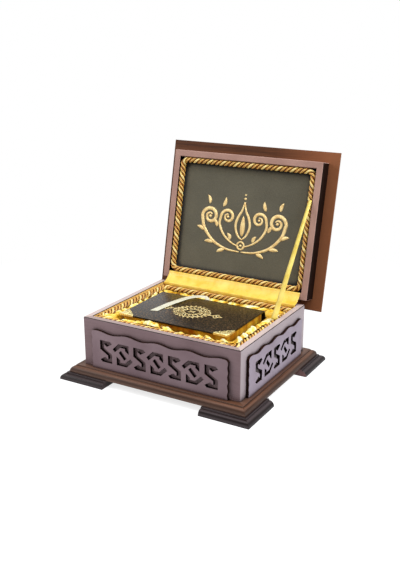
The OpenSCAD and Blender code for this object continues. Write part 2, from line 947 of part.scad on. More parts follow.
// A metal cap folded over a cover's corner, above and below the board
module protector(side, low) {
    cap_leg = protector_leg + protector_t;
    translate([book_x + side * (book_w / 2 + protector_t), book_front - protector_t, low - protector_t])
        linear_extrude(cover_t + 2 * protector_t)
            polygon([[0, 0], [-side * cap_leg, 0], [0, cap_leg]]);
}

module corner_protectors() {
    color(BRASS)
        for (side = [-1, 1], low = [cover_low, cover_top - cover_t])
            difference() {
                protector(side, low);
                translate([book_x - book_w / 2 - hold_clear, book_front - hold_clear, low - hold_clear])
                    cube([book_w + 2 * hold_clear, board_l, cover_t + 2 * hold_clear]);
                pages(fit_gap);
            }
}

// Bookmark: a flat ribbon laid over the front cover in a slow curve
BOOKMARK_FROM = [-16, 44];
BOOKMARK_PULL = [-46, 40];
BOOKMARK_LEAN = [-50, 10];
BOOKMARK_TO = [-52, -26];
bookmark_steps = 12;

module bookmark_ribbon() {
    line = [for (i = [0:bookmark_steps])
        bezier(BOOKMARK_FROM, BOOKMARK_PULL, BOOKMARK_LEAN, BOOKMARK_TO, i / bookmark_steps)];
    color(CREAM)
        translate([book_x, book_y, cover_top + hold_clear])
            linear_extrude(bookmark_t)
                polygon(band(line, bookmark_w / 2));
}

base_board();
foot_front_left();
foot_front_right();
foot_back_left();
foot_back_right();
front_wall();
back_wall();
left_wall();
right_wall();
front_fretwork();
left_fretwork();
right_fretwork();
foam_bed();
satin_surround();
box_cord_trim();
base_screws();
foot_screws();
hinge_leaf_box_left();
hinge_leaf_box_right();
hinge_pin_left();
hinge_pin_right();
hinge_screws_box();
hinge_flap();
lid_stay_ribbon();
lid_board();
lid_front_rail();
lid_back_rail();
lid_left_rail();
lid_right_rail();
lid_panel();
lid_padding();
lid_cord_trim();
hinge_leaf_lid_left();
hinge_leaf_lid_right();
hinge_screws_lid();
book_front_cover();
book_back_cover();
book_spine();
text_block();
endbands();
corner_protectors();
bookmark_ribbon();
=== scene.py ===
"""Looks of a keepsake box for a bound book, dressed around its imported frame. Metres, +Z up."""

import json
import math

import bmesh
import bpy
import numpy as np
from mathutils import Matrix, Vector


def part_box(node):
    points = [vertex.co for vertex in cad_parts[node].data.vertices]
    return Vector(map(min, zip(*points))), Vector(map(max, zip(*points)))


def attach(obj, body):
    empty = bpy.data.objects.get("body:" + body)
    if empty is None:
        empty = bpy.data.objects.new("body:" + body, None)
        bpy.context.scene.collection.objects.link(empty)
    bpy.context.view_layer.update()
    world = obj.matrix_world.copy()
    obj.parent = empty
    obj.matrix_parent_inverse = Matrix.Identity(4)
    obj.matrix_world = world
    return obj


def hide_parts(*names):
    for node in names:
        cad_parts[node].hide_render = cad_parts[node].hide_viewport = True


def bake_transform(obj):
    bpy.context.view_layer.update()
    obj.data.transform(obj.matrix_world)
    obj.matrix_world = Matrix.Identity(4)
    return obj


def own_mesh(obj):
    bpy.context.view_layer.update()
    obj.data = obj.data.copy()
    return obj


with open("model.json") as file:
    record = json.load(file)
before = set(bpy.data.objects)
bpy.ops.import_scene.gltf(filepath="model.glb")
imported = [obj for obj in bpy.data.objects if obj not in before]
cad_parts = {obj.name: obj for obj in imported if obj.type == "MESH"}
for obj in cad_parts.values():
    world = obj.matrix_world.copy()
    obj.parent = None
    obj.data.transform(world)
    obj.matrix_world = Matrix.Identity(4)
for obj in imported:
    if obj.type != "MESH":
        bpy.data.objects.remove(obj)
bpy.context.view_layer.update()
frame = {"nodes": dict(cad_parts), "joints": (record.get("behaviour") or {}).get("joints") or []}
NODES = frame["nodes"]
MM = 0.001
TAU = 2 * math.pi
UP = np.array((0, 0, 1.0))

# The lid stands open at rest; OPENED carries a point of the closed lid there
LID_HINGE = next(joint for joint in frame["joints"] if joint["name"] == "lid_hinge")
HINGE_AT = Vector(LID_HINGE["pos_m"])
OPEN_TURN = math.radians(LID_HINGE["range_deg"][1])
OPENED = (Matrix.Translation(HINGE_AT) @ Matrix.Rotation(-OPEN_TURN, 4, "X")
          @ Matrix.Translation(-HINGE_AT))


def moved(points, matrix):
    return np.asarray(points) @ np.array(matrix.to_3x3()).T + np.array(matrix.translation)


def closed_box(node):
    """Corners of a lid node as it lies with the lid closed."""
    points = moved([vertex.co for vertex in NODES[node].data.vertices], OPENED.inverted())
    return points.min(0), points.max(0)


# Places that several pieces take from the frame
WALL_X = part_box("right_wall")[0].x
WALL_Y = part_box("back_wall")[0].y
RIM_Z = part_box("back_wall")[1].z
LID_RIM_Z = closed_box("lid_back_rail")[0][2]
PANEL_Z = closed_box("lid_panel")[0][2]
FOAM_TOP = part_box("foam_bed")[1].z
ROPE_LOW, ROPE_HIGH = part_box("box_cord_trim")
LID_ROPE_LOW, LID_ROPE_HIGH = closed_box("lid_cord_trim")
ROPE_RADIUS = (LID_ROPE_HIGH[2] - LID_ROPE_LOW[2]) / 2
ROPE_OFF = WALL_X - ROPE_HIGH.x + ROPE_RADIUS
LID_ROPE_Z = LID_ROPE_LOW[2] + ROPE_RADIUS
COVER_LOW, COVER_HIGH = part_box("book_front_cover")
COVER_MIDDLE = (COVER_LOW + COVER_HIGH) / 2
BOOK_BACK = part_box("book_spine")[1].y
BOOK_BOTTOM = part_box("book_back_cover")[0].z

# The box rope lies level along the front and slopes down to the back
ROPE_Z = ROPE_HIGH.z - ROPE_RADIUS
ROPE_FALL = ROPE_HIGH.z - ROPE_LOW.z - 2 * ROPE_RADIUS
ROPE_RUN = 2 * (WALL_Y - ROPE_OFF)
ROPE_FRONT = Vector((0, -ROPE_RUN / 2, ROPE_Z))
ROPE_SLOPE = (Matrix.Translation(ROPE_FRONT) @ Matrix.Rotation(-math.asin(ROPE_FALL / ROPE_RUN), 4, "X")
              @ Matrix.Translation(-ROPE_FRONT))


# Meshes

def grid_cells(rows, cols, wrap_rows, wrap_cols):
    return [(i, j) for i in range(rows if wrap_rows else rows - 1)
            for j in range(cols if wrap_cols else cols - 1)]


def grid_faces(rows, cols, wrap_rows=False, wrap_cols=False):
    return [(i * cols + j, i * cols + (j + 1) % cols,
             (i + 1) % rows * cols + (j + 1) % cols, (i + 1) % rows * cols + j)
            for i, j in grid_cells(rows, cols, wrap_rows, wrap_cols)]


def closed_grid_uv(rows, cols):
    """The numbering of a grid closed both ways as texture coordinates, in the order of its faces' corners."""
    return [(u, v) for i, j in grid_cells(rows, cols, True, True)
            for u, v in ((i, j), (i, j + 1), (i + 1, j + 1), (i + 1, j))]


def point_uv(faces, values):
    """Two values per point as texture coordinates, in the order of the faces' corners."""
    return values[np.concatenate([np.asarray(face) for face in faces])]


def tube_faces(count, sides, closed=False):
    """Faces of a tube of rings, with its two ends capped unless it closes on itself."""
    faces = grid_faces(count, sides, closed, True)
    if not closed:
        last = (count - 1) * sides
        faces += [tuple(range(sides)), tuple(last + k for k in reversed(range(sides)))]
    return faces


def link(name, data):
    """A new object with this data, in the scene."""
    thing = bpy.data.objects.new(name, data)
    bpy.context.scene.collection.objects.link(thing)
    return thing


def make_piece(name, points, faces, material, smooth=True, uv=None):
    mesh = bpy.data.meshes.new(name)
    mesh.from_pydata([tuple(p) for p in points], [], faces)
    if uv is not None:
        mesh.uv_layers.new(name="lay").data.foreach_set("uv", np.ravel(uv))
    work = bmesh.new()
    work.from_mesh(mesh)
    bmesh.ops.recalc_face_normals(work, faces=work.faces)
    work.to_mesh(mesh)
    work.free()
    mesh.polygons.foreach_set("use_smooth", [smooth] * len(mesh.polygons))
    mesh.materials.append(material)
    piece = link(name, mesh)
    return piece


def thicken(piece, thickness, offset=0.0):
    solid = piece.modifiers.new("thickness", "SOLIDIFY")
    solid.thickness = thickness
    solid.offset = offset


def round_edges(piece, width, segments):
    bevel = piece.modifiers.new("edges", "BEVEL")
    bevel.width = width
    bevel.segments = segments
    bevel.limit_method = "ANGLE"


def unit(vectors):
    return vectors / np.linalg.norm(vectors, axis=-1, keepdims=True)


def spline(control, count):
    """Points evenly shared along a smooth curve that passes through every control point."""
    control = np.asarray(control, float)
    ends = np.concatenate([[2 * control[0] - control[1]], control, [2 * control[-1] - control[-2]]])
    at = np.linspace(0, len(control) - 1, count)
    k = np.minimum(at.astype(int), len(control) - 2)
    t = (at - k).reshape((-1,) + (1,) * (control.ndim - 1))
    a, b, c, d = (ends[k + n] for n in range(4))
    return 0.5 * (2 * b + (c - a) * t + (2 * a - 5 * b + 4 * c - d) * t ** 2
                  + (3 * b - a - 3 * c + d) * t ** 3)


def bezier(a, b, c, d, t):
    t = np.asarray(t)[:, None]
    a, b, c, d = (np.asarray(p, float) for p in (a, b, c, d))
    return a * (1 - t) ** 3 + 3 * b * t * (1 - t) ** 2 + 3 * c * t * t * (1 - t) + d * t ** 3


def smoothstep(low, high, x):
    t = np.clip((np.asarray(x, float) - low) / (high - low), 0, 1)
    return t * t * (3 - 2 * t)


# Materials

# The part of its range in which a noise mostly lies
MID = (0.3, 0.7)


def tone(red, green, blue):
    """A display colour from 0 to 255 as a linear shader colour."""
    return tuple(((c / 255 + 0.055) / 1.055) ** 2.4 if c > 10 else c / 255 / 12.92
                 for c in (red, green, blue)) + (1.0,)


class Nodes:
    """A node tree that grows node by node."""

    def __init__(self, tree):
        self.tree = tree

    def feed(self, socket, value):
        if isinstance(value, bpy.types.NodeSocket):
            self.tree.links.new(value, socket)
        else:
            socket.default_value = value

    def set(self, node, inputs):
        for name, value in inputs.items():
            self.feed(node.inputs[name], value)
        return node

    def add(self, kind, inputs=None, **settings):
        node = self.tree.nodes.new(kind)
        for name, value in settings.items():
            setattr(node, name, value)
        return self.set(node, inputs or {})

    def wire(self, node, *values):
        """Feeds a node's inputs in their order and gives its first output."""
        for socket, value in zip(node.inputs, values):
            self.feed(socket, value)
        return node.outputs[0]

    def math(self, operation, *values):
        return self.wire(self.add("ShaderNodeMath", operation=operation), *values)

    def plus(self, a, b):
        return self.math("ADD", a, b)

    def times(self, a, b):
        return self.math("MULTIPLY", a, b)

    def most(self, a, b):
        return self.math("MAXIMUM", a, b)

    def span(self, value, low, high, to_low=0.0, to_high=1.0):
        """The value carried from one range to another and held within it."""
        inputs = {"Value": value, "From Min": low, "From Max": high, "To Min": to_low, "To Max": to_high}
        return self.add("ShaderNodeMapRange", inputs).outputs[0]

    def blend_shaders(self, share, a, b):
        return self.wire(self.add("ShaderNodeMixShader"), share, a, b)


class Shader(Nodes):
    """A principled material. Colours run from 0 to 255, lengths are in millimetres, scales per metre."""

    def __init__(self, name, constants):
        self.material = bpy.data.materials.new(name)
        self.material.use_nodes = True
        super().__init__(self.material.node_tree)
        self.bsdf = self.set(self.tree.nodes["Principled BSDF"], constants)
        self.colour = None
        self.place = self.add("ShaderNodeTexCoord").outputs["Object"]

    def over(self, share, colour):
        """Lays a colour over the colour so far."""
        self.colour = self.mix(share, self.colour, colour)

    def done(self, rough, normal):
        self.set(self.bsdf, {"Base Color": self.colour, "Roughness": rough, "Normal": normal})
        return self.material

    def uv(self):
        return self.add("ShaderNodeUVMap", uv_map="lay").outputs[0]

    def part(self, vector, axis):
        return self.add("ShaderNodeSeparateXYZ", {"Vector": vector}).outputs[axis]

    def stretched(self, scale, place=None):
        return self.add("ShaderNodeMapping", {"Vector": place or self.place, "Scale": scale}).outputs[0]

    def noise(self, scale, place=None, detail=3.0, rough=0.5):
        inputs = {"Vector": place or self.place, "Scale": scale, "Detail": detail, "Roughness": rough}
        return self.add("ShaderNodeTexNoise", inputs).outputs[0]

    def fibres(self, scale, detail):
        """Noise with a scale of its own along each axis."""
        return self.noise(1, self.stretched(scale), detail)

    def cells(self, scale):
        return self.add("ShaderNodeTexVoronoi", {"Vector": self.place, "Scale": scale}).outputs["Distance"]

    def waves(self, scale, place, distortion, direction="X"):
        inputs = {"Vector": place, "Scale": scale, "Distortion": distortion}
        return self.add("ShaderNodeTexWave", inputs, bands_direction=direction).outputs["Fac"]

    def mix(self, share, a, b):
        node = self.add("ShaderNodeMix", data_type="RGBA")
        for index, value in zip((0, 6, 7), (share, a, b)):
            self.feed(node.inputs[index], tone(*value) if isinstance(value, tuple) else value)
        return node.outputs[2]

    def bump(self, height, depth, under=None):
        inputs = {"Height": height, "Distance": depth * MM}
        if under:
            inputs["Normal"] = under
        return self.add("ShaderNodeBump", inputs).outputs[0]

    def paint_skin(self, under):
        """The fine unevenness of sprayed paint over another normal."""
        return self.bump(self.noise(900, detail=2), 0.03, under)

    def rounded(self, radius):
        return self.add("ShaderNodeBevel", {"Radius": radius * MM}, samples=6).outputs[0]

    def true_normal(self):
        return self.add("ShaderNodeNewGeometry").outputs["True Normal"]

    def local_normal(self):
        return self.add("ShaderNodeVectorTransform", {"Vector": self.true_normal()}, vector_type="NORMAL",
                        convert_from="WORLD", convert_to="OBJECT").outputs[0]

    def dot(self, a, b):
        node = self.add("ShaderNodeVectorMath", operation="DOT_PRODUCT")
        self.wire(node, a, b)
        return node.outputs["Value"]

    def facing(self, axis):
        """How squarely the face looks along an axis, either way, from 0 to 1."""
        return self.math("ABSOLUTE", self.part(self.local_normal(), axis))

    def facing_in(self):
        """1 on upright faces that look towards the middle of the object."""
        return self.span(self.dot(self.local_normal(), self.stretched((1, 1, 0))), -2 * MM, -12 * MM)

    def crevice(self, reach, starts, full):
        """0 where more than one share of the space within reach is open, 1 where less than the other is."""
        occlusion = self.add("ShaderNodeAmbientOcclusion", {"Distance": reach * MM}, samples=8)
        return self.span(occlusion.outputs["AO"], starts, full)

    def edges(self, radius):
        """0 on flat faces and up to 1 at an edge, where the rounded normal leaves the face's own."""
        return self.span(self.dot(self.true_normal(), self.rounded(radius)), 1.0, 0.82)


# What the paints share: painted shade where they meet the base and around the fretwork, the scorch of sawn
# edges, painted shade in the slots, the gold lining
PAINTED_CONTACT_SHADE = (42, 24, 22)
CONTACT_SHADE_REACH = 20
CONTACT_SHADE_SHARE = 0.85
SCORCH_DARK = (13, 5, 3)
SCORCH_LIGHT = (56, 31, 22)
SLOT_SHADE = (1, 1, 1)
LINING = (230, 188, 108)


def painted_wood(name, dark, light, rim_wear_and_highlight, slot, arris_and_recess_shade):
    """Satin paint with worn edges, a painted highlight on the rim's top, a dark arris, painted shade toward
    the base and along the fretwork, a tone of painted light or shade for the ground in the slots, lined in
    gold inside.
    """
    s = Shader(name, {"Specular IOR Level": 0.25})
    grain = s.fibres((30, 650, 650), 4)
    cloud = s.noise(16)
    s.colour = s.mix(s.span(s.plus(s.times(grain, 0.35), cloud), 0.45, 0.9), dark, light)
    worn = s.times(s.edges(0.9), s.span(s.noise(120), 0.35, 0.65, 0.2, 0.5))
    up = s.facing("Z")
    # Painted highlight: the rim's top faces are lighter in patches; the worn edges take the same rim tone
    level = s.times(s.span(up, 0.9, 0.97), s.span(cloud, *MID, 0.55, 0.85))
    s.over(s.most(worn, level), rim_wear_and_highlight)
    inside = s.facing_in()
    outside = s.span(inside, 0, 1, 1, 0)
    # Painted shade: the paint darkens where the wall meets the base and around the fretwork
    s.over(s.times(s.crevice(CONTACT_SHADE_REACH, 0.9, 0.5), s.times(outside, CONTACT_SHADE_SHARE)), PAINTED_CONTACT_SHADE)
    # The ground in the slots takes its own tone: a lighter one on the front as painted light, a darker one on
    # the sides as painted shade
    s.over(s.times(s.crevice(12, 0.62, 0.46), outside), slot)
    # A dark arris, and painted shade in the recesses along the fretwork's edges and in its slots
    slanted = s.times(s.span(up, 0.3, 0.5), s.span(up, 0.92, 0.85))
    recess_shade = s.times(s.crevice(3.2, 0.7, 0.42), outside)
    s.over(s.most(slanted, recess_shade), arris_and_recess_shade)
    s.over(s.times(inside, s.span(up, 0.3, 0.1)), LINING)
    normal = s.paint_skin(s.bump(grain, 0.05, s.rounded(0.3)))
    return s.done(s.span(cloud, *MID, 0.36, 0.48), normal)


def rail_paint(name, dark, light, edge, stain_dark, stain_light):
    """Painted like the walls, with the two ends that look along X left in dark stain."""
    s = Shader(name, {"Specular IOR Level": 0.1})
    grain = s.fibres((420, 420, 20), 4)
    cloud = s.noise(18)
    paint = s.mix(s.span(cloud, *MID), dark, light)
    worn = s.times(s.edges(0.9), s.span(s.noise(120), 0.35, 0.65, 0.1, 0.5))
    stain = s.mix(s.span(grain, 0.35, 0.65), stain_dark, stain_light)
    s.colour = s.mix(s.span(s.facing("X"), 0.7, 0.9), s.mix(worn, paint, edge), stain)
    normal = s.paint_skin(s.bump(grain, 0.04, s.rounded(0.5)))
    return s.done(s.span(cloud, *MID, 0.42, 0.54), normal)


def fretwork_paint(name, axis, dark, light):
    """Painted on the two faces that look along the axis, scorched where sawn, with painted shade in the slots
    and where it meets the base.
    """
    s = Shader(name, {"Specular IOR Level": 0.08})
    paint = s.mix(s.span(s.noise(18), *MID), dark, light)
    scorch = s.mix(s.span(s.fibres((160, 160, 900), 5), 0.3, 0.72), SCORCH_DARK, SCORCH_LIGHT)
    # Painted shade: the sawn edges turn black deep in the slots
    scorch = s.mix(s.crevice(9, 0.58, 0.42), scorch, SLOT_SHADE)
    face = s.span(s.facing(axis), 0.6, 0.8)
    singed = s.times(s.edges(0.5), 0.3)
    # Painted shade: the paint darkens where the fretwork meets the base and the wall
    paint = s.mix(s.times(s.crevice(CONTACT_SHADE_REACH, 0.9, 0.5), CONTACT_SHADE_SHARE), paint, PAINTED_CONTACT_SHADE)
    s.colour = s.mix(face, scorch, s.mix(singed, paint, SCORCH_DARK))
    return s.done(s.span(face, 0, 1, 0.9, 0.42), s.paint_skin(s.rounded(0.35)))


# Noise scales of wood whose grain runs along X or along Y
GRAIN_X = (14, 420, 420)
GRAIN_Y = (420, 14, 420)


def wood_grain(s, scale, dark, mid, light):
    """Stained fibres with a slow figure along the grain; gives the colour and the fibres."""
    place = s.stretched(scale)
    fibre = s.noise(1, place, detail=6, rough=0.65)
    colour = s.mix(s.span(fibre, 0.32, 0.72), dark, mid)
    return s.mix(s.span(s.noise(0.16, place, detail=2), 0.4, 0.75, 0, 0.6), colour, light), fibre


def lid_wood(name, dark, mid, light, margin):
    """Stained board with its grain along X and dull varnish, growing redder towards its right margin."""
    s = Shader(name, {"Specular IOR Level": 0.12})
    s.colour, fibre = wood_grain(s, GRAIN_X, dark, mid, light)
    s.over(s.span(s.part(s.place, "X"), 0.3 * LID_FRAME, LID_FRAME, 0, 0.8), margin)
    s.over(s.times(s.edges(0.9), 0.45), light)
    return s.done(s.span(fibre, *MID, 0.45, 0.57), s.bump(fibre, 0.08, s.rounded(0.5)))


def moulded_wood(name, node, dark, mid, light, shade, cut):
    """Mitred moulding under a glossy varnish: grain along each side, dark mitre joints, painted shade low on
    the profile and in the quirks, painted highlights on the crest, the lower profile and the edges, and paler
    cut ends, with those that look along X kept darker as painted shade.
    """
    s = Shader(name, {"Specular IOR Level": 0.12})
    out_x, out_y = (s.math("ABSOLUTE", s.part(s.place, axis)) for axis in "XY")
    past_mitre = s.math("SUBTRACT", s.math("SUBTRACT", out_x, out_y), MITRE)
    along_x, fibre_x = wood_grain(s, GRAIN_X, dark, mid, light)
    along_y, fibre_y = wood_grain(s, GRAIN_Y, dark, mid, light)
    s.colour = s.mix(s.span(past_mitre, -0.1 * MM, 0.1 * MM), along_x, along_y)
    up, front, inside = s.facing("Z"), s.facing("Y"), s.facing_in()
    # Painted shade: faces that look less upward are darker
    s.over(s.span(up, 0.85, 0.3, 0, 0.7), shade)
    low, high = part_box(node)
    rise = s.span(s.part(s.place, "Z"), low.z, high.z)
    # Painted shade over the lower middle of the profile
    hollow = s.times(s.span(rise, 0.8, 0.55), s.span(rise, 0.05, 0.3))
    s.over(s.times(hollow, 0.45), shade)
    # Painted highlight along the crest and painted reflection over the lower half of the profile, strongest
    # on faces that look along Y
    crest_highlight = s.times(s.span(rise, 0.6, 0.8), s.span(up, 0.98, 0.85))
    painted_sheen = s.most(s.times(crest_highlight, 0.5), s.span(rise, 0.5, 0.1, 0, 0.55))
    s.over(s.times(painted_sheen, s.span(front, 0.15, 0.6, 0.3, 1.3)), light)
    # Paler cut ends mostly where they look along Y; those that look along X keep the darker tone as painted
    # shade
    s.over(s.times(inside, s.span(front, 0.3, 0.7, 0.08, 1.0)), cut)
    # Painted highlight along the edges
    s.over(s.times(s.edges(0.8), 0.35), light)
    # A dark mitre joint, and painted shade in the quirks where the moulding meets the walls
    joint = s.span(s.math("ABSOLUTE", past_mitre), 0.35 * MM, 0.1 * MM, 0, 0.7)
    quirk_shade = s.times(s.crevice(8, 0.8, 0.45), s.span(inside, 0, 1, 0.85, 0.1))
    s.over(s.most(joint, quirk_shade), shade)
    normal = s.bump(fibre_x, 0.05, s.rounded(0.4))
    return s.done(s.span(fibre_y, *MID, 0.26, 0.36), normal)


SATIN_SHINE = {"Sheen Weight": 0.1, "Sheen Roughness": 0.35, "Anisotropic": 0.4}
SATIN_ROUGH = (0.25, 0.34)
FOLD_SHADE_REACH = 3


def satin_threads(s):
    return s.waves(1400, s.stretched((1, 0.35, 0.35)), 0.6)


def satin(name, deep, mid, pale):
    """Smooth satin weave: fine ribs, a slow change of tone and painted shade in the folds."""
    s = Shader(name, {**SATIN_SHINE, "Specular IOR Level": 0.4})
    drift = s.noise(55, detail=2)
    thread = satin_threads(s)
    s.colour = s.mix(s.times(thread, 0.15), s.mix(s.span(drift, *MID), mid, pale), deep)
    # Painted shade where the cloth folds in
    s.over(s.crevice(FOLD_SHADE_REACH, 0.7, 0.35), deep)
    normal = s.bump(thread, 0.02, s.bump(drift, 0.3))
    return s.done(s.span(drift, *MID, *SATIN_ROUGH), normal)


def gathered_satin(name, deep, mid, pale, gleam):
    """Satin in gathers: painted shade of deep gold in the valleys and wells, paler on the puffs as painted
    light, and a painted highlight along their crests.
    """
    s = Shader(name, {**SATIN_SHINE, "Specular IOR Level": 0.25})
    drift = s.noise(160, detail=2)
    depth, relief = (s.part(s.uv(), axis) for axis in "XY")
    height = s.plus(relief, s.span(drift, *MID, -0.15, 0.15))
    # By the lift: painted shade in the valleys, painted light on the puffs and a painted highlight on the
    # crests
    s.colour = s.mix(s.span(height, 0.15, 0.42), deep, mid)
    s.over(s.span(height, 0.4, 0.72), pale)
    s.over(s.span(height, 0.7, 1.0), gleam)
    thread = satin_threads(s)
    s.over(s.times(thread, 0.1), mid)
    # Painted shade deep in the well round the book and in the creases
    well_shade = s.span(depth, 0.6, 0.95, 0, 0.9)
    s.over(s.most(well_shade, s.crevice(14, 0.6, 0.25)), deep)
    normal = s.bump(thread, 0.02, s.bump(drift, 0.4))
    return s.done(s.span(drift, *MID, *SATIN_ROUGH), normal)


def rope_ply(name, deep, bright, glint, gap_shade):
    """Silk yarns twisted into a ply: slanting threads with a painted highlight on the outer side and painted
    shade where they sink behind the next.
    """
    s = Shader(name, {"Specular IOR Level": 0.35})
    lay = s.uv()
    threads = s.waves(1, s.stretched((YARN_LEAN, YARNS * WAVE_PERIOD / PLY_SIDES, 0), lay), 0.25, "DIAGONAL")
    share = s.span(s.plus(threads, s.times(s.noise(2600, detail=2), 0.3)), 0.2, 0.95)
    outside = s.math("COSINE", s.times(s.part(lay, "Y"), TAU / PLY_SIDES))
    # Painted highlight on the outer side of the ply
    s.colour = s.mix(s.times(s.span(outside, 0.6, 0.98), share), s.mix(share, deep, bright), glint)
    # Painted shade where the ply sinks behind the next
    s.over(s.span(outside, 0.62, 0.1), gap_shade)
    return s.done(0.4, s.bump(threads, 0.3))


def metal(name, dark, light, rough, grain=300):
    """Cast or stamped metal with tarnish in patches and fine scratches."""
    s = Shader(name, {"Metallic": 0.9})
    patch = s.noise(grain, detail=4)
    s.colour = s.mix(s.span(patch, 0.35, 0.7), dark, light)
    normal = s.bump(s.fibres((4000, 300, 300), 2), 0.02, s.rounded(0.2))
    return s.done(s.span(patch, *MID, rough, rough + 0.2), normal)


def felt(name, dark, light, edge):
    """Short-piled cloth: mottled, matt, with a faint sheen and painted shade where it meets the rope."""
    s = Shader(name, {"Sheen Weight": 0.25, "Sheen Roughness": 0.6, "Specular IOR Level": 0.2})
    pile = s.noise(1500)
    share = s.span(s.plus(pile, s.times(s.noise(24, detail=4), 0.35)), 0.4, 0.95)
    # Painted shade: the cloth darkens where the rope stands over it
    s.colour = s.mix(s.crevice(10, 0.88, 0.66), s.mix(share, dark, light), edge)
    return s.done(0.85, s.bump(pile, 0.12))


def leather(name, dark, light, gleam):
    """Pebbled bookbinding leather: speckled where the grain's tops are rubbed, with a painted highlight along
    its edges.
    """
    s = Shader(name, {"Specular IOR Level": 0.28})
    crease = s.noise(360, detail=4, rough=0.6)
    height = s.plus(s.times(s.cells(600), 0.7), s.times(crease, 0.8))
    patch = s.span(s.noise(38), 0.32, 0.68, 0.6, 1.0)
    flat = s.span(s.facing("Z"), 0.75, 0.95, 0.12, 1.0)
    s.colour = s.mix(s.times(s.times(s.span(crease, 0.52, 0.66), patch), flat), dark, light)
    # Painted highlight along the edges of the top faces
    edge_highlight = s.times(s.edges(0.5), s.span(s.noise(160), 0.42, 0.66, 0.0, 0.7))
    s.over(s.times(edge_highlight, flat), gleam)
    return s.done(s.span(height, 0.3, 1.0, 0.22, 0.36), s.bump(height, 0.17))


def gilt_pages(name, deep, bright, shade):
    """Gilded page edges: thin leaves, broad streaks of painted reflection and painted shade under the covers.
    """
    s = Shader(name, {"Metallic": 0.2, "Specular IOR Level": 0.4})
    leaves = s.fibres((18, 18, 2600), 3)
    # Thin leaves, and broad streaks as painted reflection
    share = s.span(s.plus(s.times(leaves, 0.35), s.fibres((75, 75, 30), 3)), 0.5, 0.85)
    # Painted shade under the overhang of the covers
    s.colour = s.mix(s.crevice(6, 0.86, 0.55), s.mix(share, deep, bright), shade)
    return s.done(0.34, s.bump(leaves, 0.12))


def gold_thread(name, deep, bright):
    """Gold couching thread: fine slanting stitches with a soft gleam."""
    s = Shader(name, {"Metallic": 0.35, "Sheen Weight": 0.2, "Specular IOR Level": 0.6})
    stitch = s.waves(520, s.stretched((1, 0.6, 0.6)), 0.4)
    share = s.span(s.plus(s.times(stitch, 0.4), s.noise(150)), 0.35, 0.95)
    s.colour = s.mix(share, deep, bright)
    return s.done(0.38, s.bump(stitch, 0.1))


def foam(name, dark, light):
    """Open-celled foam."""
    s = Shader(name, {"Specular IOR Level": 0.15})
    cell = s.cells(700)
    s.colour = s.mix(s.span(cell, 0.1, 0.7), dark, light)
    return s.done(0.95, s.bump(cell, 0.4))


PLY_SIDES = 14
YARNS = 6
YARN_LEAN = 0.05
# The period of a diagonal wave texture of scale 1
WAVE_PERIOD = TAU / 10
BASE_HALF = (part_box("base_board")[1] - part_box("base_board")[0]) / 2
MITRE = BASE_HALF.x - BASE_HALF.y
LID_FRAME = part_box("right_wall")[1].x

# Tones in the order of each function's arguments
# The side wall and side fretwork paints are lighter copies of the front ones, as painted light; the slot tone
# is painted light on the front and painted shade on the sides
FRONT_PLUM = painted_wood("front_plum_paint", (130, 105, 108), (151, 126, 130), (167, 147, 142),
                          slot=(150, 124, 127), arris_and_recess_shade=(10, 4, 3))
LIT_SIDE_PLUM = painted_wood("side_plum_paint", (163, 147, 150), (186, 171, 174), (209, 188, 180),
                         slot=(33, 22, 22), arris_and_recess_shade=(24, 12, 9))
RAIL_PLUM = rail_paint("rail_paint", (160, 124, 113), (182, 145, 132), (216, 186, 171),
                       stain_dark=(7, 2, 1), stain_light=(25, 11, 6))
FRET_FRONT = fretwork_paint("front_fretwork_paint", "Y", (141, 118, 124), (161, 138, 144))
LIT_FRET_SIDE = fretwork_paint("side_fretwork_paint", "X", (152, 137, 148), (171, 158, 171))
BASE_WOOD = moulded_wood("plinth_walnut", "base_board", (69, 42, 28), (114, 77, 57), (137, 108, 95),
                         shade=(29, 19, 16), cut=(124, 91, 81))
LID_WOOD = lid_wood("lid_walnut", (54, 29, 16), (97, 58, 35), (115, 72, 45), margin=(148, 92, 60))
FOOT_WOOD = moulded_wood("foot_walnut", "foot_front_right", (22, 11, 10), (40, 26, 25), (112, 101, 103),
                         shade=(12, 6, 6), cut=(145, 110, 108))
SATIN_GATHERS = gathered_satin("gathered_satin", (103, 60, 2), (237, 177, 31), (255, 232, 114),
                               gleam=(255, 255, 226))
SATIN_FLAP = satin("flap_satin", (238, 191, 54), (238, 193, 65), (255, 223, 116))
SATIN_STAY = satin("stay_satin", (177, 146, 33), (218, 188, 68), (243, 220, 116))
PLY_LIGHT = rope_ply("light_ply", (234, 168, 46), (253, 228, 112), (255, 249, 196), gap_shade=(104, 50, 6))
PLY_COPPER = rope_ply("copper_ply", (134, 68, 12), (228, 146, 48), (255, 219, 124), gap_shade=(40, 14, 3))
BRASS = metal("brass", (150, 112, 52), (206, 170, 98), rough=0.3)
PANEL_CLOTH = felt("panel_cloth", (71, 67, 53), (105, 100, 83), edge=(5, 3, 2))
FOAM = foam("foam", (188, 154, 86), (212, 180, 110))
LEATHER = leather("black_leather", (12, 7, 5), (119, 91, 59), gleam=(172, 149, 112))
GILT = gilt_pages("gilt_edges", (178, 98, 8), (255, 208, 62), shade=(64, 28, 4))
CORNER_METAL = metal("corner_metal", (217, 190, 119), (255, 249, 192), rough=0.32, grain=500)
FOIL = metal("cover_foil", (180, 146, 83), (255, 245, 190), rough=0.36, grain=700)
CREAM = satin("cream_ribbon", (178, 174, 140), (218, 215, 190), (231, 228, 206))
HEADBAND = satin("headband", (50, 34, 14), (90, 66, 28), (130, 98, 44))
GOLD_THREAD = gold_thread("gold_thread", (209, 164, 92), (255, 230, 164))


# Rope trims

ROPE_BEND = 8 * MM
ROPE_PITCH = 24 * MM
PLIES = 3
PLY_STEPS = 18
PLY_RADIUS = 0.47 * ROPE_RADIUS
PLY_OFFSET = ROPE_RADIUS - PLY_RADIUS


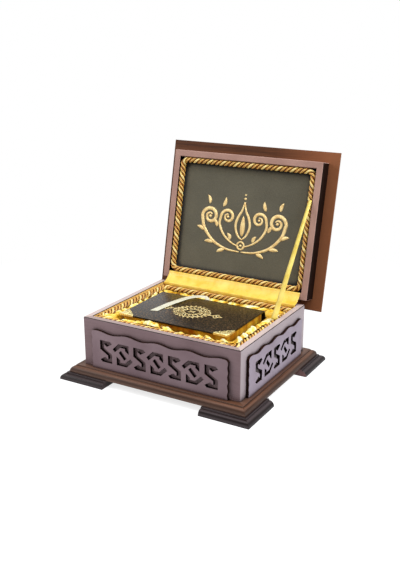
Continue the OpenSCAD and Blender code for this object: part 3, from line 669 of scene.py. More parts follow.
def rounded_loop(width, depth, bend, count):
    """Points and outward directions, evenly spaced round a level rectangle with round corners; its length."""
    straights = (width - 2 * bend, depth - 2 * bend)
    half = Vector((straights[0] / 2, straights[1] / 2, 0))
    arc = math.pi / 2 * bend
    total = 2 * sum(straights) + 4 * arc
    points, outward = [], []
    for i in range(count):
        side, along = 0, total * i / count
        while along > straights[side % 2] + arc:
            along -= straights[side % 2] + arc
            side += 1
        straight = straights[side % 2]
        heading = Vector((math.cos(side * math.pi / 2), math.sin(side * math.pi / 2), 0))
        out = Vector((heading.y, -heading.x, 0))
        turn = max(0.0, along - straight) / bend
        centre = Vector([a * b for a, b in zip(half, heading + out)])
        start = centre - heading * (straight - min(along, straight))
        looks = out * math.cos(turn) + heading * math.sin(turn)
        points.append(start + bend * looks)
        outward.append(looks)
    return np.array(points), np.array(outward), total


def rope(name, level, place, body, node):
    """Three plies twisted round a loop inside the walls, made level and then carried to its place."""
    loop = (2 * (WALL_X - ROPE_OFF), ROPE_RUN, ROPE_BEND)
    turns = round(rounded_loop(*loop, 1)[2] / ROPE_PITCH)
    count = turns * PLY_STEPS
    per_ply = count * PLY_SIDES
    line, outward, _ = rounded_loop(*loop, count)
    around = TAU * np.arange(PLY_SIDES) / PLY_SIDES
    points, faces, uv = [], [], []
    for ply in range(PLIES):
        angle = (TAU * (turns * np.arange(count) / count + ply / PLIES))[:, None]
        radial = np.cos(angle) * outward + np.sin(angle) * UP
        core = line + PLY_OFFSET * radial
        across = unit(np.cross(np.roll(core, -1, 0) - np.roll(core, 1, 0), radial))
        ring = radial[:, None] * np.cos(around)[:, None] + across[:, None] * np.sin(around)[:, None]
        points.append((core[:, None] + PLY_RADIUS * ring).reshape(-1, 3))
        faces += [tuple(ply * per_ply + k for k in face) for face in tube_faces(count, PLY_SIDES, True)]
        uv += closed_grid_uv(count, PLY_SIDES)
    points = moved(np.concatenate(points) + level * UP, place)
    piece = make_piece(name, points, faces, PLY_LIGHT, uv=uv)
    piece.data.materials.append(PLY_COPPER)
    copper_plies = PLIES - 1
    piece.data.polygons.foreach_set("material_index", [0] * per_ply + [1] * (copper_plies * per_ply))
    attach(piece, body)
    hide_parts(node)


# Gathered satin round the book

GATHERS = (9, 8, 9, 8)
GATHER_STEPS = 22
SATIN_ROWS = 46
SATIN_T = 0.5 * MM
SKIRT_GAP = 1.5 * MM
SKIRT_FOOT = BOOK_BOTTOM + 1.2 * MM
WALL_BEND = 10 * MM
SKIRT_BEND = 4 * MM
FIXED_WIDTH = 12 * MM
# The depth below the rim over which the satin darkens into painted shade in the well
WELL_DEPTH = 18 * MM
ROPE_CLEAR = ROPE_RADIUS + 0.8 * MM
# The satin's sections from the rope to the foot of the skirt: distance from the wall, depth below the rim
LOW_LYING = np.array([(9.8, 8.4), (10.2, 7.8), (10.8, 7.3), (11.6, 6.9), (13, 6.7), (15, 7), (17, 8),
                      (19, 9.6), (20.6, 11), (22, 12.6), (23.2, 15), (23.5, 20), (23.5, 27)]) * MM
SWOLLEN = np.array([(9.8, 8.4), (10.2, 5), (9.9, 2), (9.7, 0.2), (10.8, -1.2), (13, -2.1), (16, -2.2),
                    (19, -1.2), (22, 1.4), (25, 5), (28, 10), (30.6, 18), (31, 27)]) * MM
RUFFLED = np.array([(9.8, 8.4), (10, 5), (9.6, 2), (9.4, 0.2), (10.4, -1.4), (12, -1.9), (13.8, -1.4),
                    (15.4, 0.4), (17, 3.4), (19.4, 7.4), (23.5, 11.6), (29.5, 16.4), (31, 27)]) * MM
SUNKEN = np.array([(9.8, 8.4), (10.2, 7.6), (10.8, 6.8), (11.6, 6.2), (13, 5.8), (15, 6.4), (16.4, 8.6),
                   (17.4, 12), (18.4, 15), (20, 17), (22, 18.4), (23.3, 21), (23.5, 27)]) * MM
# How far it swells, ruffles or sinks, by gathers counted from the left end of the front round to the right
SWELL_AT = (0, 1.2, 2.2, 3.3, 4.2, 4.7, 6.6, 7.2, 7.8, 8.4, 9, 32, 34)
SWELL = (0.5, 0.42, 0.5, 1, 0.75, 0.2, 0.16, 0.75, 0.3, 0.4, 0, 0, 0.5)
RUFFLE_AT = (8.2, 9, 12.6, 13.6, 15)
RUFFLE = (0, 1, 1, 0.45, 0)
SINK_AT = (15, 16, 17.6, 18.8)
SINK = (0, 1, 1, 0)
# The share of their lift that the gathers keep: they lie flatter along the back
LIFT_SHARE_AT = (15.5, 17.5, 25, 27)
LIFT_SHARE = (1, 0.4, 0.4, 1)
# Heights of the gathers' puffs, creases, pleats and ripples, and the share of each that lies in the section
PUFF_LIFT = 6 * MM
PUFF_MEAN = 0.52
CREASE_LIFT = 1.8 * MM
CREASE_MEAN = 0.62
PLEAT_LIFT = 1.2 * MM
PLEAT_MEAN = 0.5
RIPPLE_LIFT = 0.8 * MM
# The range of lift over which the satin's painted shade and highlights spread, from valley to crest
RELIEF_SPAN = 7 * MM
TINY = 1e-9


def rounded_rectangle(half, centre, bend):
    """Points at every gather step along the four sides of a rectangle with round corners."""
    signs = np.array([(-1, -1), (1, -1), (1, 1), (-1, 1), (-1, -1)])
    sides = []
    for k, gathers in enumerate(GATHERS):
        steps = gathers * GATHER_STEPS
        sides.append(signs[k] + (signs[k + 1] - signs[k]) * (np.arange(steps) / steps)[:, None])
    edge = np.concatenate(sides) * half
    core = np.clip(edge, bend - half, half - bend)
    return core + bend * unit(edge - core) + centre


def fitted(section, width):
    """A section whose part beyond the rope is stretched to the width between wall and skirt."""
    reach = section[-1, 0]
    stretch = (width[:, None] - FIXED_WIDTH) / (reach - FIXED_WIDTH)
    across = np.where(section[:, 0] > FIXED_WIDTH, FIXED_WIDTH + (section[:, 0] - FIXED_WIDTH) * stretch,
                      section[:, 0])
    return np.stack([across, np.broadcast_to(RIM_Z - section[:, 1], across.shape)], axis=2)


def mean_sections(turn, width):
    """The section at every gather step, mixed by how far the satin swells, ruffles or sinks there."""
    swell, ruffle, sink = (np.interp(turn, at, amount)[:, None, None]
                           for at, amount in ((SWELL_AT, SWELL), (RUFFLE_AT, RUFFLE), (SINK_AT, SINK)))
    return (swell * fitted(SWOLLEN, width) + ruffle * fitted(RUFFLED, width) + sink * fitted(SUNKEN, width)
            + (1 - swell - ruffle - sink) * fitted(LOW_LYING, width))


def gather_lift(turn, row):
    """How far the cloth stands off its section: round puffs of many sizes, sharp valleys and creases."""
    # Turns count gathers; the odd factors keep neighbours from looking alike
    warped = turn + 0.22 * np.sin(TAU * (0.37 * turn + 0.2)) + 0.8 * (row - 0.3) * np.sin(1.9 * turn + 0.6)
    size = 0.6 + 0.4 * np.mod(np.sin(12.9 * (np.floor(warped) + 3)) * 437.5, 1)
    puff = np.abs(np.sin(math.pi * warped)) ** 0.6
    body = smoothstep(0.02, 0.2, row) * (1 - 0.92 * smoothstep(0.5, 0.85, row))
    creases = np.abs(np.sin(math.pi * (1.8 * warped + 1.9 * row + 0.5 * np.sin(3.1 * turn))))
    pleat_turn = 3.4 * turn + 0.35 * np.sin(5.3 * turn) + 0.9 * row * np.sin(2.3 * turn)
    near_rope = smoothstep(0.0, 0.12, row) * (1 - smoothstep(0.3, 0.65, row))
    pleats = np.abs(np.sin(math.pi * pleat_turn)) * near_rope
    ripples = np.sin(TAU * (1.3 * turn - 2.2 * row)) * np.sin(TAU * (0.45 * turn + 1.7 * row))
    return (PUFF_LIFT * body * (size * puff - PUFF_MEAN) + CREASE_LIFT * body * (creases - CREASE_MEAN)
            + PLEAT_LIFT * (pleats - PLEAT_MEAN) + RIPPLE_LIFT * body * ripples)


def rope_fall(y):
    """How far the box rope has sloped down at this y."""
    return ROPE_FALL * (y / ROPE_RUN + 0.5)


def clear_of_ropes(points):
    """Pushes points out of the rope along the wall and of the lid's rope above it."""
    half = np.array((WALL_X, WALL_Y)) - ROPE_OFF - ROPE_BEND
    for height in (ROPE_Z - rope_fall(points[:, 1]), np.full(len(points), LID_ROPE_Z)):
        core = np.clip(points[:, :2], -half, half)
        out = points[:, :2] - core
        reach = np.maximum(np.linalg.norm(out, axis=1), TINY)
        off = np.stack([reach - ROPE_BEND, points[:, 2] - height], axis=1)
        far = np.linalg.norm(off, axis=1)
        grown = off * np.maximum(1, ROPE_CLEAR / far)[:, None]
        plan = core + out * ((ROPE_BEND + grown[:, 0]) / reach)[:, None]
        pushed = np.column_stack([plan, height + grown[:, 1]])
        points = np.where((far < ROPE_CLEAR)[:, None], pushed, points)
    return points


def satin_gathers():
    wall = rounded_rectangle(np.array((WALL_X, WALL_Y)), np.zeros(2), WALL_BEND)
    book_low = np.array((COVER_LOW.x, COVER_LOW.y)) - SKIRT_GAP
    book_high = np.array((COVER_HIGH.x, BOOK_BACK)) + SKIRT_GAP
    skirt = rounded_rectangle((book_high - book_low) / 2, (book_high + book_low) / 2, SKIRT_BEND)
    width = np.linalg.norm(skirt - wall, axis=1)
    turn = np.arange(len(wall)) / GATHER_STEPS
    control = mean_sections(turn, width)
    control[..., 1] -= rope_fall(wall[:, 1])[:, None]
    section = np.swapaxes(spline(np.swapaxes(control, 0, 1), SATIN_ROWS), 0, 1)
    along = np.gradient(section, axis=1)
    normal = unit(np.stack([-along[..., 1], along[..., 0]], axis=2))
    lift = gather_lift(turn[:, None], np.linspace(0, 1, SATIN_ROWS)[None])
    share = np.interp(turn, LIFT_SHARE_AT, LIFT_SHARE)[:, None]
    section = section + normal * (lift * share)[..., None]
    section[..., 0] = np.minimum(section[..., 0], width[:, None] + SKIRT_GAP / 3)
    over_foam = section[..., 0] < width[:, None] - SKIRT_GAP
    section[..., 1] = np.maximum(section[..., 1], np.where(over_foam, FOAM_TOP + 2 * SATIN_T, SKIRT_FOOT))
    inward = ((skirt - wall) / width[:, None])[:, None]
    plan = wall[:, None] + inward * section[..., :1]
    points = clear_of_ropes(np.concatenate([plan, section[..., 1:]], axis=2).reshape(-1, 3))
    faces = grid_faces(len(wall), SATIN_ROWS, True)
    # Depth below the rim and lift, which the satin's material turns into painted shade and highlights
    depth = (RIM_Z - points[:, 2]) / WELL_DEPTH
    relief = 0.5 + lift.ravel() / RELIEF_SPAN
    uv = point_uv(faces, np.stack([depth, relief], axis=1))
    piece = make_piece("satin_gathers", points, faces, SATIN_GATHERS, uv=uv)
    thicken(piece, SATIN_T, -1)
    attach(piece, "box")
    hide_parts("satin_surround")


# Ribbons

FLAP_LIFT = 0.45 * MM
FLAP_TUCK = 1.3 * MM
FLAP_SET_BACK = 0.2 * MM
FLAP_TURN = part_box("back_wall")[1].y - 2.5 * MM
FLAP_T = 0.4 * MM
FLAP_COLS = 140
FLAP_ROWS = 26
FLAP_TAIL_ROWS = 4
FLAP_SLACK = 0.9 * MM
# Length and phase of the two waves that share out the slack across the flap
FLAP_WAVES = ((0.061, 0.1), (0.173, 0.3))


def opened_yz(y, z):
    return (OPENED @ Vector((0, y, z))).yz


def hinge_flap():
    """Satin from behind the box rope, over the rim and up behind the lid rope."""
    low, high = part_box("hinge_flap")
    edge = WALL_Y + FLAP_SET_BACK
    face = WALL_Y - FLAP_LIFT
    curve = bezier((edge, RIM_Z + FLAP_LIFT), (FLAP_TURN, RIM_Z + 2 * FLAP_LIFT),
                   opened_yz(FLAP_TURN, LID_RIM_Z - 2 * FLAP_LIFT), opened_yz(edge, LID_RIM_Z - FLAP_LIFT),
                   np.linspace(0, 1, FLAP_ROWS))
    tail = [(face, z) for z in np.linspace(RIM_Z - ROPE_FALL - FLAP_TUCK, RIM_Z, FLAP_TAIL_ROWS)]
    corner = (WALL_Y - FLAP_LIFT / 2, RIM_Z + FLAP_LIFT / 2 + FLAP_T / 2)
    line = np.concatenate([tail, [corner], curve, [opened_yz(face, LID_RIM_Z + FLAP_TUCK)]])
    run = unit(np.gradient(line, axis=0))
    out = np.stack([-run[:, 1], run[:, 0]], axis=1)
    x = np.linspace(low.x, high.x, FLAP_COLS)
    share = np.linspace(0, 1, len(line))
    slack = np.sin(math.pi * smoothstep(len(tail) / len(line), 1, share)) ** 2
    waves = np.prod([np.sin(TAU * (x / length + phase)) for length, phase in FLAP_WAVES], axis=0)
    lift = FLAP_SLACK * slack[:, None] * (0.5 + 0.5 * waves)[None]
    yz = line[:, None] + out[:, None] * lift[..., None]
    points = np.concatenate([np.broadcast_to(x[None, :, None], yz.shape[:2] + (1,)), yz], axis=2)
    faces = grid_faces(len(line), FLAP_COLS)
    piece = make_piece("satin_flap", points.reshape(-1, 3), faces, SATIN_FLAP)
    thicken(piece, FLAP_T)
    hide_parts("hinge_flap")
    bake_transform(piece)


STAY_TOP_W = 5 * MM
STAY_CUT = 10 * MM
STAY_T = 0.35 * MM
STAY_FOLD = 0.28
STAY_ROWS = 60
# Where the points of a row lie, from one edge over the crease to the other
STAY_ROW = (-1, -0.5, -0.12, 0, 0.12, 0.5, 1)
STAY_RIPPLE = 0.1 * MM
STAY_RIPPLES = 7
STAY_RIPPLE_SLANT = 2.2


def lid_stay():
    """A ribbon creased down its middle, drawn in where it is sewn to the lid."""
    low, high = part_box("lid_stay_ribbon")
    foot = np.array(((low.x + high.x) / 2, low.y, low.z))
    top = np.array((high.x - STAY_TOP_W / 2, high.y, high.z))
    run = top - foot
    share = np.linspace(0, 1, STAY_ROWS)[:, None, None]
    half = ((high.x - low.x) * (1 - share) + STAY_TOP_W * share) / 2
    depth = np.sqrt((STAY_CUT / 2) ** 2 - half ** 2) * STAY_FOLD
    out = unit(np.array((0, -run[2], run[1])))
    across = np.array(STAY_ROW)[None, :, None]
    ripple = STAY_RIPPLE * np.sin(TAU * STAY_RIPPLES * share + STAY_RIPPLE_SLANT * across)
    points = (foot + run * share + np.array((1, 0, 0)) * half * across
              + out * (depth - np.abs(across) * depth + ripple))
    faces = grid_faces(STAY_ROWS, len(STAY_ROW))
    piece = make_piece("stay_ribbon", points.reshape(-1, 3), faces, SATIN_STAY)
    thicken(piece, STAY_T)
    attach(piece, "box")
    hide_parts("lid_stay_ribbon")
    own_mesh(piece)


BOOKMARK_W = 11 * MM
BOOKMARK_T = 0.3 * MM
BOOKMARK_ROWS = 60
BOOKMARK_COLS = 7
# The bookmark rises behind the spine, arches over the cover and comes to lie on it. Its line is measured from
# the middle of the spine's back, at the height of the cover's face
BOOKMARK_FROM = np.array((COVER_MIDDLE.x, BOOK_BACK, COVER_HIGH.z))
BOOKMARK_LINE = np.array([(-11.5, 1.1, -6), (-13, 1.5, 0), (-16, 0.7, 1.7), (-22.5, -2.9, 2.5),
                          (-29.6, -9.1, 2.7), (-36.5, -20.9, 2.5), (-41, -34.5, 2), (-46.5, -52.5, 1.2),
                          (-50, -70.5, 0.6), (-52, -87.5, 0.3)]) * MM
# Its end is cut on a slant that keeps nearly level, and its middle stands a little proud
BOOKMARK_SLANT = 5 * MM
BOOKMARK_SLANT_FROM = 0.9
BOOKMARK_CROWN = 0.5 * MM
BOOKMARK_LEVEL = np.array((1, 1, 0.2))


def bookmark():
    line = spline(BOOKMARK_FROM + BOOKMARK_LINE, BOOKMARK_ROWS)
    run = unit(np.gradient(line, axis=0) * BOOKMARK_LEVEL)
    across = unit(np.cross(run, UP))
    share = np.linspace(-0.5, 0.5, BOOKMARK_COLS)[None, :, None]
    slant = BOOKMARK_SLANT * smoothstep(BOOKMARK_SLANT_FROM, 1, np.linspace(0, 1, BOOKMARK_ROWS))
    points = (line[:, None] + across[:, None] * share * BOOKMARK_W
              + run[:, None] * share * slant[:, None, None] + BOOKMARK_CROWN * (0.25 - share ** 2) * UP)
    faces = grid_faces(BOOKMARK_ROWS, BOOKMARK_COLS)
    piece = make_piece("bookmark", points.reshape(-1, 3), faces, CREAM)
    thicken(piece, BOOKMARK_T)
    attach(piece, "book")
    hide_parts("bookmark_ribbon")


# Book

COVER_ROUND = 0.5 * MM
COVER_ROUND_STEPS = 4
SPINE_T = 1.2 * MM
SPINE_STEPS = 24
SPINE_BULGE = 4 * MM
SPINE_ROUND = 0.3 * MM
SPINE_ROUND_STEPS = 2
JOINT_GAP = 0.2 * MM
JOINT_DEPTH = 1.3 * MM
# Where the groove beside a cover reaches its depth and where it ends
JOINT_FLOOR = (0.9 * MM, 1.9 * MM)
LEAVES = 40
LEAF_SEED = 7
LEAF_STAGGER = 0.16 * MM
FORE_EDGE_HOLLOW = 1.4 * MM


def cover(name, node):
    low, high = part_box(node)
    points = [(x, y, z) for z in (low.z, high.z)
              for x, y in ((low.x, low.y), (high.x, low.y), (high.x, high.y), (low.x, high.y))]
    piece = make_piece(name, points, tube_faces(2, 4), LEATHER)
    round_edges(piece, COVER_ROUND, COVER_ROUND_STEPS)
    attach(piece, "book")
    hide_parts(node)


def spine():
    """The leather from cover to cover: a groove at each joint and a round back."""
    low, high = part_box("book_spine")
    half = (high.z - low.z) / 2
    middle = (high.z + low.z) / 2
    joint = COVER_HIGH.y + JOINT_GAP
    heights = np.linspace(1, -1, SPINE_STEPS) * (half - JOINT_DEPTH / 2)
    radius = (half ** 2 + SPINE_BULGE ** 2) / (2 * SPINE_BULGE)
    back = BOOK_BACK - radius + np.sqrt(radius ** 2 - heights ** 2)
    groove = [(joint, half - JOINT_GAP)] + [(joint + y, half - JOINT_DEPTH) for y in JOINT_FLOOR]
    outer = np.array(groove + list(zip(back, heights)) + [(y, -z) for y, z in reversed(groove)])
    outer[:, 1] += middle
    run = unit(np.gradient(outer, axis=0))
    inner = outer + SPINE_T * np.stack([run[:, 1], -run[:, 0]], axis=1)
    ring = np.concatenate([outer, inner[::-1]])
    points = [(x, y, z) for x in (low.x, high.x) for y, z in ring]
    piece = make_piece("spine_leather", points, tube_faces(2, len(ring)), LEATHER)
    round_edges(piece, SPINE_ROUND, SPINE_ROUND_STEPS)
    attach(piece, "book")
    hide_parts("book_spine")


def pages():
    """A stack of leaves with a hollow fore-edge, each layer a hair longer or shorter than the next."""
    low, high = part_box("text_block")
    draw = np.random.default_rng(LEAF_SEED)
    rings = []
    for k in range(LEAVES):
        level = (k + 0.5) / LEAVES
        hollow = FORE_EDGE_HOLLOW * (1 - (2 * level - 1) ** 2)
        short = draw.uniform(0, LEAF_STAGGER, 3)
        left, right = low.x + short[0], high.x - short[1]
        front = low.y + hollow + short[2]
        for share in (k / LEAVES, (k + 1) / LEAVES):
            z = low.z + share * (high.z - low.z)
            rings.append([(left, front, z), (right, front, z), (right, high.y, z), (left, high.y, z)])
    points = np.reshape(rings, (-1, 3))
    piece = make_piece("page_block", points, tube_faces(2 * LEAVES, 4), GILT, False)
    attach(piece, "book")
    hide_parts("text_block")


# Raised ornament

# A stroke's section, from one edge to the other: place across its width, and height
STROKE_SECTION = np.array([(-0.5, 0), (-0.34, 0.75), (0, 1), (0.34, 0.75), (0.5, 0)])
# A narrow stroke rises by this share of its width at most
STROKE_STEEPNESS = 0.6
# A bead is a short stroke: place along its diameter, and share of its width
BEAD = np.array([(-1, 0.15), (-0.7, 0.72), (0, 1), (0.7, 0.72), (1, 0.15)])
PETAL_STEPS = np.linspace(0.02, 0.98, 9)
FULLNESS = 0.8


def polar(centre, angle, radius_x, radius_y):
    return np.asarray(centre) + np.stack([radius_x * np.cos(angle), radius_y * np.sin(angle)], axis=1)


class Relief:
    """Raised strokes, petals and beads in a plane, drawn in millimetres and gathered into one piece."""

    def __init__(self, rise):
        self.rise = rise
        self.points = []
        self.faces = []

    def stroke(self, path, widths, closed=False):
        path = np.asarray(path, float)
        widths = np.broadcast_to(widths, len(path))
        run = unit(np.roll(path, -1, 0) - np.roll(path, 1, 0) if closed else np.gradient(path, axis=0))
        side = np.stack([run[:, 1], -run[:, 0]], axis=1)
        plan = path[:, None] + side[:, None] * (STROKE_SECTION[:, 0] * widths[:, None])[..., None]
        height = np.minimum(self.rise, STROKE_STEEPNESS * widths)[:, None] * STROKE_SECTION[:, 1]
        start = len(self.points)
        self.points += np.concatenate([plan, height[..., None]], axis=2).reshape(-1, 3).tolist()
        self.faces += [tuple(start + k for k in face)
                       for face in tube_faces(len(path), len(STROKE_SECTION), closed)]

    def petal(self, at, angle, length, width, bow=0.0):
        """A leaf that starts at a point, swells and ends sharp; bow curves it to one side."""
        local = np.stack([PETAL_STEPS * length, bow * np.sin(math.pi * PETAL_STEPS)], axis=1)
        turn = np.array(((math.cos(angle), math.sin(angle)), (-math.sin(angle), math.cos(angle))))
        widths = width * np.sin(math.pi * PETAL_STEPS ** FULLNESS) ** FULLNESS
        self.stroke(np.asarray(at) + local @ turn, widths)

    def bead(self, at, radius):
        self.stroke([(at[0] + radius * along, at[1]) for along in BEAD[:, 0]], 2 * radius * BEAD[:, 1])

    def ring(self, at, radii, width, steps, lobes=0, depth=0.0):
        angle = TAU * np.arange(steps) / steps
        wave = 1 + depth * np.cos(lobes * angle)
        self.stroke(polar(at, angle, radii[0] * wave, radii[1] * wave), width, closed=True)

    def piece(self, name, material, slot, place, body):
        piece = make_piece(name, moved(np.array(self.points) * MM, place), self.faces, material)
        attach(piece, body)
        return piece


# Its place from the middle of the panel
ARABESQUE_AT = (3 * MM, -6 * MM)
# The right half of the arabesque. Each scroll: its stem and the stem's steps, the spiral's centre, turns and
# radii, the least and greatest width, and the radius of the bead in it
ARABESQUE_SCROLLS = (
    (((2, -41), (26, -39), (50, -29), (68, -10), (74, 10)), 30, (59, 10), 1.4, (15, 4), (1.6, 6.0), 2.6),
    (((3, -33), (17, -28), (32, -17), (41, -1), (40, 12)), 24, (27.5, 12), 1.3, (12.5, 3.5), (1.4, 5.0), 2.2),
)
# Each leaf: where it starts, its direction in degrees and its length
ARABESQUE_LEAVES = ((28, -41, -22, 15), (50, -32, 2, 16), (68, -14, 22, 15), (45, -6, 58, 15),
                    (38, 27, 105, 16), (62, 29, 72, 15), (20, -24, 62, 12))
BUD = ((0, -22), (8, -14), (12.5, 0), (9, 14), (3.5, 24), (0, 38))
KNOT_AT = (0, -31)
# The beads over the bud: height and radius
TOP_BEADS = ((43, 2.2), (49, 1.6))
SPIRAL_EASE = 0.8


def spiral(centre, turns, outer, inner, steps=40):
    t = np.linspace(0, 1, steps)
    radius = outer + (inner - outer) * t ** SPIRAL_EASE
    return polar(centre, TAU * turns * t, radius, radius)


def swelling(path, least, most):
    """Stroke widths that grow from the ends of a path towards its middle."""
    return least + (most - least) * np.sin(math.pi * np.linspace(0.02, 0.98, len(path))) ** FULLNESS


def lid_arabesque():
    """A symmetrical spray of scrolls and leaves in gold thread on the lid panel."""
    relief = Relief(rise=0.8)
    bud = spline(BUD, count=30)
    for side in (-1, 1):
        flip = np.array((side, 1))
        for stem, steps, centre, turns, radii, widths, _ in ARABESQUE_SCROLLS:
            path = np.concatenate([spline(stem, steps)[:-1], spiral(centre, turns, *radii)])
            relief.stroke(path * flip, swelling(path, *widths))
        relief.stroke(bud * flip, swelling(bud, least=1.6, most=4.4))
        for x, y, angle, length in ARABESQUE_LEAVES:
            turn = math.radians(angle) if side > 0 else math.pi - math.radians(angle)
            relief.petal((side * x, y), turn, length, width=6.2, bow=side * 1.6)
        for _, _, (x, y), _, _, _, radius in ARABESQUE_SCROLLS:
            relief.bead((side * x, y), radius)
    relief.petal((0, -17), math.pi / 2, length=34, width=9)
    relief.ring(KNOT_AT, radii=(6, 6), width=3, steps=40)
    relief.bead(KNOT_AT, radius=2.2)
    for y, radius in TOP_BEADS:
        relief.bead((0, y), radius)
    right, up = ARABESQUE_AT
    face = Matrix(((1, 0, 0, right), (0, -1, 0, -up), (0, 0, -1, PANEL_Z), (0, 0, 0, 1)))
    relief.piece("lid_arabesque", GOLD_THREAD, "brass", OPENED @ face, "lid")


# Its place from the middle of the cover
MEDALLION_AT = (-1 * MM, 1 * MM)
OVAL_RADII = np.array((28, 24))
OVAL_STEPS = 96
OVAL_POINT = 0.3
# The two lines along the oval: its share and the line's width
MEDALLION_LINES = ((0.9, 1.6), (0.46, 2.2))
# Crowns of petals: their number, the share of the oval where they start, length, width and turn in petals
MEDALLION_CROWNS = ((26, 0.94, 4.5, 3.6, 0.5), (22, 0.7, 4.6, 3.4, 0.5), (18, 0.5, 5, 3.2, 0),
                    (4, 0.02, 6, 3.4, 0.5))


def pointed_oval(angle):
    """A point of an oval that runs to a point at each end of its length."""
    return OVAL_RADII * np.array((math.cos(angle), math.sin(angle) * abs(math.sin(angle)) ** OVAL_POINT))


def pendant(relief, side):
    """A stem, a lobed ring with a bead and a petal beyond one end of the oval."""
    end = OVAL_RADII[0]
    ring_at = (side * (end + 13), 0)
    relief.stroke([(side * (end + x), 0) for x in (1, 5, 9)], widths=1.8)
    relief.ring(ring_at, radii=(5, 5.5), width=2.2, steps=32, lobes=4, depth=0.22)
    relief.bead(ring_at, radius=1.6)
    relief.petal((side * (end + 17), 0), 0 if side > 0 else math.pi, length=6, width=3.2)


def cover_medallion():
    """A stamped rosette in a pointed oval, open round its middle, with a small pendant at each end."""
    relief = Relief(rise=0.5)
    outline = np.array([pointed_oval(angle) for angle in TAU * np.arange(OVAL_STEPS) / OVAL_STEPS])
    for share, width in MEDALLION_LINES:
        relief.stroke(outline * share, width, closed=True)
    for count, share, length, width, turn in MEDALLION_CROWNS:
        for k in range(count):
            at = share * pointed_oval(TAU * (k + turn) / count)
            relief.petal(at, math.atan2(at[1], at[0]), length, width)
    for side in (-1, 1):
        pendant(relief, side)
    right, up = MEDALLION_AT
    top = Matrix.Translation((COVER_MIDDLE.x + right, COVER_MIDDLE.y + up, COVER_HIGH.z))
    relief.piece("cover_medallion", FOIL, "corner_metal", top, "book")


# A cap in millimetres: the length of its legs, where its row of rings meets them, its thickness, its rim
CAP_LEG = 22
CAP_REACH = 0.92 * CAP_LEG
CAP_T = 0.55
CAP_RIM = np.array([(1, 0.9), (CAP_LEG / 2, 0.9), (CAP_LEG, 0.9)])
# How far its folded strip stands over the faces of the cover
CAP_LAP = 0.1 * MM


def corner_cap(name, side, low, high, up):
    """Openwork over one corner of a cover: a folded rim, a scalloped edge and leaves between."""
    relief = Relief(rise=CAP_T)
    for t in np.linspace(0.1, 0.9, 5):
        relief.ring((CAP_REACH * t, CAP_REACH * (1 - t)), radii=(2.3, 2.3), width=1.1, steps=20)
    for path in (CAP_RIM, CAP_RIM[:, ::-1]):
        relief.stroke(path, widths=2.2)
    for angle in np.radians((8, 30, 45, 60, 82)):
        relief.petal((2.2, 2.2), angle, length=12, width=3.4)
    relief.bead((3, 3), radius=2.2)
    corner = high.x if side > 0 else low.x
    level = high.z if up > 0 else low.z
    place = Matrix(((-side, 0, 0, corner), (0, 1, 0, low.y), (0, 0, up, level), (0, 0, 0, 1)))
    return relief.piece(f"cap_{name}", CORNER_METAL, "corner_metal", place, "book")


def cap_edge(name, side, low, high):
    """A cap's folded strip along the outer edges of its cover."""
    corner = high.x if side > 0 else low.x
    leg = CAP_LEG * MM
    line = np.array([(corner - side * leg, low.y), (corner, low.y), (corner, low.y + leg)])
    out = line + np.array([(0, -1), (side, -1), (side, 0)]) * CAP_T * MM
    bottom, top = low.z - CAP_LAP, high.z + CAP_LAP
    rings = [[(*p, bottom), (*q, bottom), (*q, top), (*p, top)] for p, q in zip(line, out)]
    points = np.reshape(rings, (-1, 3))
    piece = make_piece(f"cap_edge_{name}", points, tube_faces(3, 4), CORNER_METAL, False)
    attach(piece, "book")


def corner_caps():
    corners = [(f"{level}_{hand}", side, *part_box(node), up)
               for level, node, up in (("top", "book_front_cover", 1), ("bottom", "book_back_cover", -1))
               for hand, side in (("left", -1), ("right", 1))]
    caps = [corner_cap(*corner) for corner in corners]
    for *corner, _ in corners:
        cap_edge(*corner)
    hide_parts("corner_protectors")


# Stage

# Angles in degrees; azimuth counts from the front, -Y, towards +X
CAMERA_AZIMUTH = 30.188
CAMERA_ELEVATION = 18.056
CAMERA_DISTANCE = 1.186
CAMERA_TARGET = Vector((0, 0.010849, 0.130053))
CAMERA_LENS = 50.958
SENSOR = 36
WHITE = (1, 1, 1, 1)
WORLD_LIGHT = 0.27
FLOOR_HALF = 4.0
FLOOR_DROP = 0.1 * MM
FLOOR_GLOW = 0.77
FLOOR_SHADE = tone(168, 168, 168)
SHADOW_REACH = (0.3, 0.7)


def aim(thing, azimuth, elevation, distance):
    """Sets a camera or lamp at these angles and this distance from the target and turns it there."""
    azimuth, elevation = math.radians(azimuth), math.radians(elevation)
    back = Vector((math.sin(azimuth) * math.cos(elevation), -math.cos(azimuth) * math.cos(elevation),
                   math.sin(elevation)))
    thing.location = CAMERA_TARGET + distance * back
    thing.rotation_euler = (-back).to_track_quat("-Z", "Y").to_euler()


def make_camera():
    data = bpy.data.cameras.new("camera")
    data.lens = CAMERA_LENS
    data.sensor_width = SENSOR
    camera = link("camera", data)
    aim(camera, CAMERA_AZIMUTH, CAMERA_ELEVATION, CAMERA_DISTANCE)
    bpy.context.scene.camera = camera


def softbox(name, azimuth, elevation, distance, size, power, colour=(1, 1, 1)):
    data = bpy.data.lights.new(name, "AREA")
    data.shape = "SQUARE"
    data.size = size
    data.energy = power
    data.color = colour
    aim(link(name, data), azimuth, elevation, distance)


def seen_directly(nodes):
    """1 for rays from the camera or from a mirror or glass, 0 for the light that falls on things."""
    path = nodes.add("ShaderNodeLightPath").outputs
    seen = nodes.most(path["Is Camera Ray"], path["Is Glossy Ray"])
    return nodes.most(seen, path["Is Transmission Ray"])


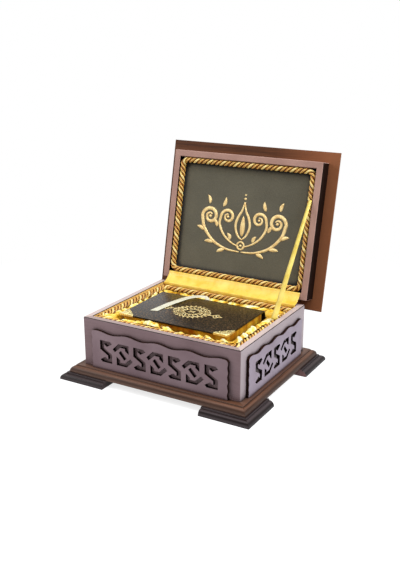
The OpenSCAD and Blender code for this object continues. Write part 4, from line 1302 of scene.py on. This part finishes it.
def make_world():
    world = bpy.data.worlds.new("studio")
    bpy.context.scene.world = world
    world.use_nodes = True
    nodes = Nodes(world.node_tree)
    fill = nodes.set(nodes.tree.nodes["Background"], {"Color": WHITE, "Strength": WORLD_LIGHT})
    white = nodes.add("ShaderNodeBackground", {"Color": WHITE})
    both = nodes.blend_shaders(seen_directly(nodes), fill.outputs[0], white.outputs[0])
    nodes.set(nodes.tree.nodes["World Output"], {"Surface": both})


def far_share(nodes):
    """0 near the object and 1 where its shadow no longer reaches."""
    length = nodes.add("ShaderNodeVectorMath", operation="LENGTH")
    nodes.wire(length, nodes.add("ShaderNodeTexCoord").outputs["Object"])
    return nodes.span(length.outputs["Value"], *SHADOW_REACH)


def make_floor():
    """A pale floor that takes the object's shadow and is plain white further off."""
    material = bpy.data.materials.new("pale_floor")
    material.use_nodes = True
    nodes = Nodes(material.node_tree)
    nodes.tree.nodes.remove(nodes.tree.nodes["Principled BSDF"])
    shade = nodes.add("ShaderNodeBsdfDiffuse", {"Color": FLOOR_SHADE}).outputs[0]
    glow = nodes.add("ShaderNodeEmission", {"Strength": FLOOR_GLOW}).outputs[0]
    white = nodes.add("ShaderNodeEmission").outputs[0]
    lit = nodes.wire(nodes.add("ShaderNodeAddShader"), shade, glow)
    shown = nodes.blend_shaders(far_share(nodes), lit, white)
    both = nodes.blend_shaders(seen_directly(nodes), shade, shown)
    nodes.set(nodes.tree.nodes["Material Output"], {"Surface": both})
    corners = [(x * FLOOR_HALF, y * FLOOR_HALF, -FLOOR_DROP) for x, y in ((-1, -1), (1, -1), (1, 1), (-1, 1))]
    mesh = bpy.data.meshes.new("floor")
    mesh.from_pydata(corners, [], [(0, 1, 2, 3)])
    mesh.materials.append(material)
    floor = link("floor", mesh)


# The nodes that keep their own shape

def dress(material, *names):
    for name in names:
        for slot in NODES[name].material_slots:
            slot.material = material


def dress_frame():
    dress(FRONT_PLUM, "front_wall", "back_wall")
    dress(LIT_SIDE_PLUM, "left_wall", "right_wall")
    dress(RAIL_PLUM, "lid_front_rail", "lid_back_rail", "lid_left_rail", "lid_right_rail")
    dress(FRET_FRONT, "front_fretwork")
    dress(LIT_FRET_SIDE, "left_fretwork", "right_fretwork")
    dress(BASE_WOOD, "base_board")
    dress(LID_WOOD, "lid_board")
    dress(FOOT_WOOD, "foot_front_left", "foot_front_right", "foot_back_left", "foot_back_right")
    dress(FOAM, "foam_bed", "lid_padding")
    dress(PANEL_CLOTH, "lid_panel")
    dress(HEADBAND, "endbands")
    dress(BRASS, "base_screws", "foot_screws", "hinge_screws_box", "hinge_screws_lid", "hinge_pin_left",
          "hinge_pin_right", "hinge_leaf_box_left", "hinge_leaf_box_right", "hinge_leaf_lid_left",
          "hinge_leaf_lid_right")


bpy.context.scene.view_settings.view_transform = "Standard"
make_camera()
make_world()
make_floor()
softbox("top", azimuth=10, elevation=72, distance=1.6, size=0.8, power=10)
softbox("right", azimuth=92, elevation=42, distance=1.7, size=0.8, power=27, colour=(0.92, 0.96, 1.0))
softbox("front", azimuth=-56, elevation=28, distance=1.5, size=0.7, power=9.5)
dress_frame()
rope("box_rope", ROPE_Z, ROPE_SLOPE, "box", "box_cord_trim")
rope("lid_rope", LID_ROPE_Z, OPENED, "lid", "lid_cord_trim")
satin_gathers()
hinge_flap()
lid_stay()
cover("front_cover_leather", "book_front_cover")
cover("back_cover_leather", "book_back_cover")
spine()
pages()
bookmark()
corner_caps()
cover_medallion()
lid_arabesque()
